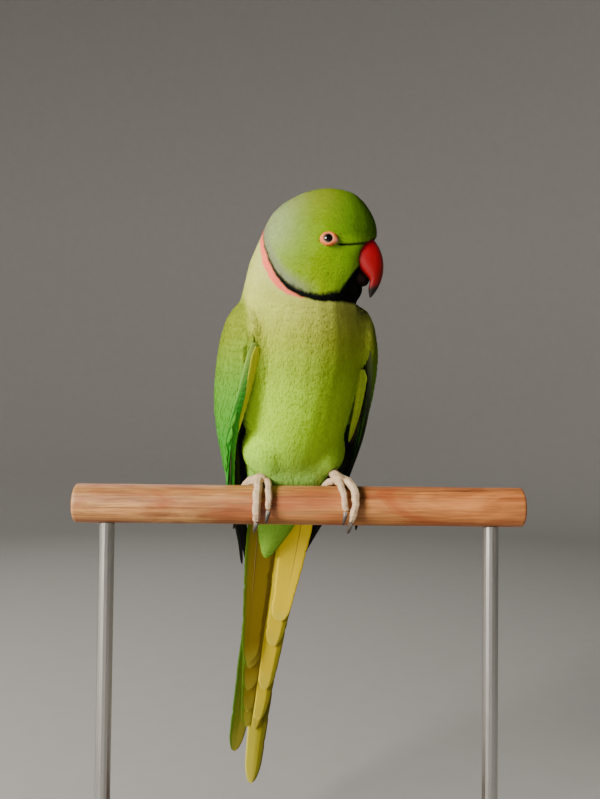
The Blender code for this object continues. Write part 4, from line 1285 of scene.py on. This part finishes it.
def make_flight_feathers(side_name, side, materials):
    """Greater coverts, secondaries and primaries of a folded wing, each modelled on its own."""
    rng = np.random.default_rng(40 + side)
    stations = 40
    t = np.linspace(0, 1, stations)

    def feathers(label, z, share, inset, half, webs, under, rim=None, tip=0.8, taper=0.3, edge=None, shaft=0.35):
        """webs holds the colours of the outer and inner web, from the first feather to the last."""
        count = len(z[0])
        line, across, up = wing_lines(side, z, share, inset, stations, edge)
        half = np.broadcast_to(half, (count,))
        parts = Parts()
        for k in range(count):
            width = vane_shape(t, tip, 0.5, taper, 0.3) * half[k]
            bake = bake_place(line[k, :1], side_name)[0]
            light = 1 + 0.07 * rng.uniform(-1, 1)
            tone = flight_tone(*webs[k * len(webs) // count], under, light, rim)
            vane_feather(parts, line[k], across[k], up[k], width * 0.8, width, 0.35, tone, rng, bake, shaft=shaft)
        return parts.build(f"wing_{side_name}_{label}", materials["vane"])

    s = np.linspace(0, 1, 9)
    obj = feathers(
        "primary_feathers", (46 - 8 * s, -39 + 30 * s**1.3), (0.04 + 0.46 * s, 0.22 + 0.50 * s),
        (3.4 - 1.0 * s, 1.6 - 0.4 * s), 5.6, (("1a2c14", "0c0e0a"),), "11130f", "8a9a68", 0.78, 0.4,
    )
    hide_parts(f"wing_{side_name}_primaries")
    # Near black, the inner webs' own colour. On the left wing they are set further out, over its front edge, as a dark
    # painted shade.
    s = np.linspace(0, 1, 5)
    feathers(
        "inner_primaries", (74 - 10 * s, -38 + 8 * s), (-0.02, 0.02 + 0.08 * s),
        (4.6 + 1.4 * s, 4.6 + 1.6 * s) if side < 0 else (2.4 + 2.6 * s, -0.4 + 3.0 * s),
        3.0, (("14160f", "101210"),), "12140e", "3c4632", 0.78, 0.4, edge=0.0,
    )
    s = np.linspace(0, 1, 12)
    obj = feathers(
        "secondary_feathers", (50 + 6 * s, 8 - 11 * np.sin(math.pi * s) + 5 * s), (0.05 + 0.84 * s, 0.07 + 0.83 * s),
        (3.0 - 1.0 * s, 1.1 - 0.5 * s), 5.4, (("1fa022", "1c8c1c"),), "1c2216", "46b034", 0.8, 0.25,
    )
    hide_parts(f"wing_{side_name}_secondaries")
    s = np.linspace(0, 1, 14)
    bottom = covert_line(wing_place(side, 40.0, s)[:, 1])
    feathers(
        "greater_coverts", (bottom + 38, bottom + 13), (0.05 + 0.92 * s, 0.06 + 0.93 * s),
        (1.9, 0.45), 4.6, (("34982a", "2e8e26"),), "2a3320", "64ac44", 0.72, 0.3,
    )
    # The right wing's front is lit in the pose and the left wing's is in shade, so they are painted apart: the right
    # wing's front coverts paler than the wing as painted light, the left wing's dark olive as painted shade.
    if side < 0:
        s = np.linspace(0, 1, 12)
        # Painted light: paler than the wing, to make up for the shade these forward-facing feathers are in.
        webs = [(shade, shade) for shade in ("94b04a", "84ac46", "6ca83e", "54a238", "40a030", "349a28")]
        feathers(
            "front_coverts", (80 - 32 * s, 50 - 48 * s), (-0.035, -0.02), (1.0 + 0.8 * s, 1.5 + 1.2 * s),
            3.3, webs, "2a3a1c", "6aa83c", 0.75, 0.3, edge=0.8, shaft=0.0,
        )
        s = np.linspace(0, 1, 7)
        feathers(
            "edge_feathers", (78 - 30 * s, 60 - 26 * s), (-0.05, -0.045), (2.2 + 2.0 * s, 2.6 + 2.0 * s),
            2.6 - 1.3 * s, (("c4ca30", "b2ba24"),), "6f7a1a", None, 0.6, 0.5, edge=0.7, shaft=0.0,
        )
    else:
        s = np.linspace(0, 1, 5)
        # Painted shade: dark olive.
        webs = [(shade, shade) for shade in ("3e4620", "343f1e", "2a351b", "222c17", "1b2413")]
        feathers(
            "front_coverts", (78 - 22 * s, 50 - 34 * s), (-0.035, -0.02), (0.8, 0.6),
            2.2, webs, "2a3a1c", "3c4a26", 0.75, 0.35, edge=0.0, shaft=0.0,
        )
        s = np.linspace(0, 1, 7)
        feathers(
            "edge_feathers", (69 - 24 * s, 55 - 23 * s), (-0.045, -0.04), (4.0 + 1.4 * s, 4.4 + 1.4 * s),
            3.4 - 1.6 * s, (("b8ca3c", "98b030"),), "6f7a1a", None, 0.6, 0.5, edge=0.0, shaft=0.0,
        )


# ---------------------------------------------------------------- tail


def tail_place(along, left, layer):
    """A point of the tail in the bird frame."""
    steep = math.hypot(1.0, TAIL_LEAN)
    back, down = TAIL_LEAN / steep, 1.0 / steep
    layer = layer - left * left / TAIL_ROOF
    x, y, z = TAIL_ROOT
    return np.stack([x + left, y + along * back + layer * down, z - along * down + layer * back], -1)


def tail_tone(side, rank, light):
    """Yellow below and green above, bluer in the middle pair, with an olive outer edge, which on the left half is wider
    and partly painted shade.
    """
    under, inner = (srgb(shades[rank]) for shades in TAIL_UNDER[side])
    above = srgb(TAIL_ABOVE[rank])
    # On the left half the olive margin is wider: partly the feathers' own edge, partly painted shade.
    edge, margin = (srgb("4c7a1c"), (0.55, 0.85)) if side < 0 else (srgb("767424"), (0.3, 0.5))
    strength = 0.0 if side > 0 and rank == 5 else 0.85

    def tone(t, x, top):
        if top:
            return mix(above, srgb("86a82a"), 0.6 * step(0.8, 1.0, t)) * light
        base = mix(under, inner, step(0.15, -0.15, x))
        base = mix(base, srgb("d8d05a"), 0.45 * step(0.86, 1.0, t))
        return mix(base, edge, strength * step(*margin, x)) * light

    return tone


def make_tail(materials):
    """Graduated feathers in layers, the middle pair the longest."""
    rng = np.random.default_rng(60)
    stations = 90
    t = np.linspace(0, 1, stations)
    for side_name, side in (("l", 1), ("r", -1)):
        for rank, length in enumerate(TAIL_LENGTHS[side_name]):
            depth = rank + 1 if rank else (1 if side > 0 else 0)
            layer = (3 - depth) * TAIL_LAYER
            along = length * t
            spread = (2.0 + 2.1 * rank) * np.minimum(1.0, 0.35 + along / 30.0) * (1 - 0.35 * t * t)
            if rank == 0:
                spread = 2.0 + 3.2 * t if side > 0 else 2.6 + 5.8 * t
            shape = vane_shape(t, TAIL_TIP)
            outer = (8.6 - 0.4 * rank) * shape
            inner = (8.6 + 0.5 * rank) * shape
            if rank:
                inner = np.minimum(inner, np.maximum(spread - 0.15, 0.3))
            line = tail_place(along, side * spread, layer)
            beside = tail_place(along, side * (spread + 0.5), layer) - line
            ahead, across = square_to(line, beside)
            line, across, up = lines_to_row(line, across, unit(np.cross(ahead, across)) * -side)
            parts = Parts()
            bake = np.array([0.02 + 0.04 * rank + (0.3 if side > 0 else 0), 0.985])
            # The left half is painted 12 per cent lighter as painted light; each feather is also a little lighter or
            # darker at random.
            tone = tail_tone(side, rank, (1.12 if side > 0 else 1.0) + 0.05 * rng.uniform(-1, 1))
            vane_feather(parts, line, across, up, inner, outer, 0.4, tone, rng, bake, cup=200.0, across=6, notches=3)
            obj = parts.build(f"tail_feather_{side_name}_{rank + 1}", materials["vane"])
            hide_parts(f"tail_{side_name}_{rank + 1}")


# ---------------------------------------------------------------- bill and eyes


def bill_rings(pairs, ridge, sides):
    """Sections of a bill between points of the head's middle plane, in the row frame."""
    angles = circle(sides)
    share = 0.5 - 0.5 * np.cos(angles)
    rings = []
    for top, bottom, width in pairs:
        forward = bottom[0] + (top[0] - bottom[0]) * share
        up = bottom[1] + (top[1] - bottom[1]) * share
        left = 0.5 * width * np.sin(angles) * (1 - ridge * share)
        rings.append(head_to_row(np.stack([forward, left, up], -1)))
    return np.array(rings)


def make_bill(materials):
    """A deep hooked upper bill over a short lower one."""
    stations, sides = 64, 56
    levels = smooth_columns(BILL_EDGE, stations)
    angles = np.linspace(CULMEN_FROM, CULMEN_TO, stations)
    pairs = []
    for (forward, up, width), angle in zip(levels, angles):
        top = (CULMEN_CENTRE[0] + CULMEN_RADIUS * math.cos(angle), CULMEN_CENTRE[1] + CULMEN_RADIUS * math.sin(angle))
        pairs.append((top, (forward, up), width))
    verts, quads, tris = closed_tube(bill_rings(pairs, 0.35, sides))
    h = row_to_head(verts)
    f, u = h[:, 0], h[:, 2]
    red = ramp(u, ((-27, "48040a"), (-20, "78040c"), (-10, "920410"), (2, "9e0616")))
    tip = step(-20.6, -23.0, u - 0.25 * (f - 27))
    t = np.concatenate([np.repeat(np.linspace(0, 1, stations), sides), [0, 1]])
    ring_share = np.concatenate([np.tile(0.5 - 0.5 * np.cos(circle(sides)), stations), [0.5, 0.5]])
    # A dark line along the cutting edge, painted shade where the upper bill closes over the lower.
    cutting_edge_shade = step(0.16, 0.04, ring_share) * step(0.3, 0.5, t)
    colours = mix(red, srgb("17100f"), np.maximum(tip, 0.8 * cutting_edge_shade))
    vane = np.stack([ring_share * 12, t * 40], -1)
    obj = mesh_object("upper_mandible", verts, quads, tris, materials["horn"], colours, vane=vane)
    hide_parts("upper_bill")

    # The solid's sections, drawn in a little and lifted so that the upper bill closes over them.
    pairs = []
    for f0, u0, f1, u1, width in smooth_columns(LOWER_BILL, 30):
        pairs.append(((f0 + 0.6, u0 + 1.6), (f1 + 0.3, u1 + 0.5), width - 1.4))
    verts, quads, tris = closed_tube(bill_rings(pairs, -0.2, 40))
    # Nearly black: partly the lower bill's own dark colour, partly painted shade under the upper bill.
    obj = mesh_object("lower_mandible", verts, quads, tris, materials["dark_horn"], srgb("160a0a"), vane=verts[:, ::2])
    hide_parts("lower_bill")


def eye_frame(side):
    """Centre of an eye and its outward, forward and up directions, in the row frame."""
    centre = head_to_row((EYE_PLACE[0], side * EYE_PLACE[1], EYE_PLACE[2]))
    out = unit(head_to_row_direction(np.array([0.16, side, 0.05])))
    forward = head_to_row_direction(np.array([1.0, 0.0, 0.0]))
    forward = unit(forward - out * np.dot(forward, out))
    up = np.cross(out, forward) * (1 if side < 0 else -1)
    if up[2] < 0:
        up = -up
    return centre, out, forward, up


def make_eye(side_name, side, materials):
    """An eyeball with a dark pupil and a pale iris, and the bare wrinkled ring round it."""
    centre, out, forward, up = eye_frame(side)
    pupil, iris, sides = PUPIL_ANGLE, IRIS_ANGLE, 64
    spans = ((0, pupil - 0.8, 10), (pupil + 0.4, iris, 7), (iris + 1, 178, 30))
    polar = np.radians(np.concatenate([np.linspace(*part) for part in spans]))
    around = circle(sides)[:, None]
    rings = []
    for angle in polar:
        bulge = EYE_RADIUS * (1 + 0.035 * math.exp(-((angle / 0.6) ** 2)))
        sideways = math.sin(angle) * (np.cos(around) * forward + np.sin(around) * up)
        rings.append(centre + bulge * (math.cos(angle) * out + sideways))
    verts, quads, tris = closed_tube(np.array(rings))
    degrees = np.concatenate([np.repeat(np.degrees(polar), sides), [0, 178]])
    iris_colour = ramp(degrees, ((pupil, "5a4438"), (pupil + 3, "b89a80"), (iris - 2, "d0b49a"), (iris, "b07858")))
    colours = mix(srgb("050404"), iris_colour, step(pupil - 0.5, pupil + 0.4, degrees))
    obj = mesh_object(f"eyeball_{side_name}", verts, quads, tris, materials["eye"], colours)
    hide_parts(f"eye_{side_name}")

    rows, sides = smooth_columns(EYE_RING, 34), 96
    around = circle(sides)
    wrinkle = 0.05 * np.sin(around * 17 + 1.0) + 0.04 * np.sin(around * 29)
    corner = np.exp(-((np.angle(np.exp(1j * (around - math.radians(-18)))) / 0.35) ** 2))
    rings, colours = [], []
    for k, (radius, high) in enumerate(rows):
        share = (radius - EYE_RING_INNER) / EYE_RING_WIDE
        reach = radius * (1 + 0.10 * share) + 0.5 * corner * share
        tall = radius * (1 - 0.12 * share)
        ripple = 0.05 * math.sin(k * 1.7) + wrinkle * step(0.1, 0.5, share)
        ring = (
            centre
            + out * (high + ripple)[:, None]
            + reach[:, None] * np.cos(around)[:, None] * forward
            + tall * np.sin(around)[:, None] * up
        )
        rings.append(ring)
        colour = ramp(np.full(sides, share), EYE_RING_COLOURS)
        colours.append(mix(colour, srgb("e8c9b4"), 0.4 * corner * step(0.2, 0.6, share)))
    mesh_object(
        f"eye_ring_{side_name}", np.array(rings).reshape(-1, 3), grid_quads(len(rows), sides, closed=True), (),
        materials["bare"], np.array(colours).reshape(-1, 3),
    )


# ---------------------------------------------------------------- feet and perch


def remade(node, name, voxel, swell, smoothing):
    """A finer, rounder copy of a node, with its points and normals."""
    obj = placed(name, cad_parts[node].data.copy())
    reshaped(obj, smoothing, voxel)
    verts, _, normals = mesh_arrays(obj)
    return obj, verts + normals * swell, normals


def make_feet(side_name, materials):
    """Scaly feet: cross plates along the toes and up the shank, folds where the toes bend."""
    obj, verts, normals = remade(f"foot_{side_name}", f"foot_skin_{side_name}", 0.33, 0.0, 4)
    p = verts - PERCH_ORIGIN
    reach = np.hypot(p[:, 1], p[:, 2])
    angle = np.arctan2(p[:, 2], -p[:, 1])
    on_toe = step(17.2, 15.0, reach)
    outward = np.clip((normals[:, 1] * p[:, 1] + normals[:, 2] * p[:, 2]) / reach, 0, 1)
    run = np.where(on_toe > 0.5, angle * 14.0, 1.2 * p[:, 2] + p[:, 1])
    run = run + 0.5 * value_noise(p, 5.0, 9)
    plate = np.abs(np.sin(run * math.pi / 1.3)) ** 0.5
    knuckle = 0.16 * np.cos(angle * 14.0 * 2 * math.pi / 8.0 + 0.8 * p[:, 0])
    folds = 0.12 * value_noise(p, 0.9, 4) + 0.14 * value_noise(p, 2.4, 6)
    swell = 0.04 + 0.14 * outward + (plate - 0.75) * (0.3 + 0.7 * outward) * 0.13 + knuckle * on_toe + folds
    move_points(obj.data, verts + normals * swell[:, None])
    pale, rosy, grey = srgb("eacfa8"), srgb("d8a680"), srgb("a08c70")
    colour = mix(pale, rosy, 0.30 + 0.30 * value_noise(p, 4.0, 2))
    colour = mix(colour, grey, np.clip(0.5 * (1 - plate) + 0.12 + 0.2 * value_noise(p, 1.4, 5), 0, 0.6))
    finished(obj, colour, materials["foot"])
    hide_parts(f"foot_{side_name}")
    for toe in ("front_long", "front_short", "back_long", "back_short"):
        node = f"claw_{side_name}_{toe}"
        obj, verts, _ = remade(node, f"claw_horn_{side_name}_{toe}", 0.16, 0.10, 6)
        p = verts - PERCH_ORIGIN
        angle = np.arctan2(p[:, 2], -p[:, 1])
        share = (angle - angle.min()) / (angle.max() - angle.min())
        share = 1 - share if toe.startswith("front") else share
        colour = ramp(share, ((0, "8d8175"), (0.35, "4a423c"), (1.0, "1b1817")))
        move_points(obj.data, verts)
        finished(obj, colour, materials["claw"])
        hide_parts(node)


def make_perch(materials):
    """A hardwood dowel, a little uneven along its length, with eased ends."""
    eased = np.array([0, 0, 0.25, 0.7, 1.2])
    middle = np.linspace(2.0, PERCH_LENGTH - 2.0, 150)
    stations = np.concatenate([eased, middle, PERCH_LENGTH - eased[::-1]])
    radii = np.full(len(stations), PERCH_RADIUS)
    radii[[0, -1]] = 0.02
    for k, cut in ((1, 0.9), (2, 0.42), (3, 0.14)):
        radii[[k, -1 - k]] -= cut
    sides = 96
    around = circle(sides)
    x = np.repeat(stations - PERCH_LENGTH / 2, sides)
    ring = np.stack([x, np.tile(np.cos(around), len(stations)), np.tile(np.sin(around), len(stations))], -1)
    dents = 0.10 * value_noise(ring, 7.0, 8, (1.0, 9.0, 9.0)) + 0.05 * value_noise(ring, 2.0, 3, (0.2, 14, 14))
    radius = np.repeat(radii, sides)
    radius = radius + np.where(radius > 9, dents - 0.1, 0)
    verts = ring * np.stack([np.ones_like(radius), radius, radius], -1) + PERCH_ORIGIN
    obj = mesh_object("perch_dowel", verts, grid_quads(len(stations), sides, closed=True), (), materials["perch"])
    obj.data.set_sharp_from_angle(angle=math.radians(40))
    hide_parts("perch")


# ---------------------------------------------------------------- main


def make_stage(materials):
    """A floor that turns up into a pale wall all round."""
    flat, bend, top, sides = 1500.0, 900.0, 3200.0, 96
    turn = np.linspace(0, math.pi / 2, 17)
    profile = [(radius, 0.0) for radius in (0.0, 300.0, 900.0)]
    profile += [(flat + bend * math.sin(a), bend * (1 - math.cos(a))) for a in turn]
    profile += [(flat + bend, top)]
    around = circle(sides)
    rings = [np.stack([r * np.cos(around), r * np.sin(around), np.full(sides, z)], -1) for r, z in profile]
    verts = np.array(rings).reshape(-1, 3)
    mesh_object("studio", verts, grid_quads(len(profile), sides, closed=True), (), materials["floor"])


def make_lights():
    """A soft key from the upper left, a weak fill from the right and a little from behind."""
    middle = Vector((0, PERCH_BACK, PERCH_HEIGHT + 30)) * MM
    for name, azimuth, elevation, distance, size, power, colour in (
        ("key", -50, 20, 1.45, 0.56, 53.0, (1.0, 0.95, 0.86)),
        ("fill", 50, 10, 1.45, 1.2, 0.2, (0.92, 0.95, 1.0)),
        ("low", -36, -16, 1.4, 0.9, 4.0, (1.0, 0.96, 0.9)),
        ("back", -158, 40, 1.4, 0.7, 5.0, (1.0, 0.97, 0.93)),
    ):
        a, e = math.radians(azimuth), math.radians(elevation)
        light = bpy.data.lights.new(name, "AREA")
        light.size, light.energy, light.color = size, power, colour
        obj = placed(name, light)
        obj.location = middle + distance * Vector((math.sin(a) * math.cos(e), -math.cos(a) * math.cos(e), math.sin(e)))
        obj.rotation_euler = (middle - obj.location).to_track_quat("-Z", "Y").to_euler()
        obj.visible_glossy = name in ("key", "back")
    world = bpy.data.worlds.new("world")
    bpy.context.scene.world = world
    world.use_nodes = True
    world.node_tree.nodes["Background"].inputs[0].default_value = (0.86, 0.88, 0.92, 1.0)
    world.node_tree.nodes["Background"].inputs[1].default_value = 0.05


def make_camera():
    """Eye level a little above the perch, looking slightly up, as the bird was seen."""
    data = bpy.data.cameras.new("camera")
    data.sensor_fit, data.sensor_width, data.lens = "AUTO", 36.0, CAMERA_LENS
    obj = placed("camera", data)
    pitch, roll = math.radians(1.6), math.radians(0.6)
    place = Matrix.Translation(Vector((0.0, PERCH_BACK - CAMERA_AWAY, PERCH_HEIGHT + CAMERA_UP)) * MM)
    obj.matrix_world = place @ Matrix.Rotation(math.radians(90) + pitch, 4, "X") @ Matrix.Rotation(roll, 4, "Z")
    bpy.context.scene.camera = obj


def main():
    materials = make_materials()
    trees = node_trees()
    skin, labels = make_skin(materials, trees)
    surface = Surface(skin, labels)
    make_coat(surface, materials)
    make_tail_coverts(materials)
    for side_name, side in (("l", 1), ("r", -1)):
        make_wing_coverts(side_name, side, materials)
        make_flight_feathers(side_name, side, materials)
        make_eye(side_name, side, materials)
        make_feet(side_name, materials)
    make_tail(materials)
    make_bill(materials)
    make_perch(materials)
    for name, finish in (("stand_base", "base"), ("stand_rod_l", "steel"), ("stand_rod_r", "steel")):
        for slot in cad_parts[name].material_slots:
            slot.material = materials[finish]
    make_stage(materials)
    make_lights()
    make_camera()


main()
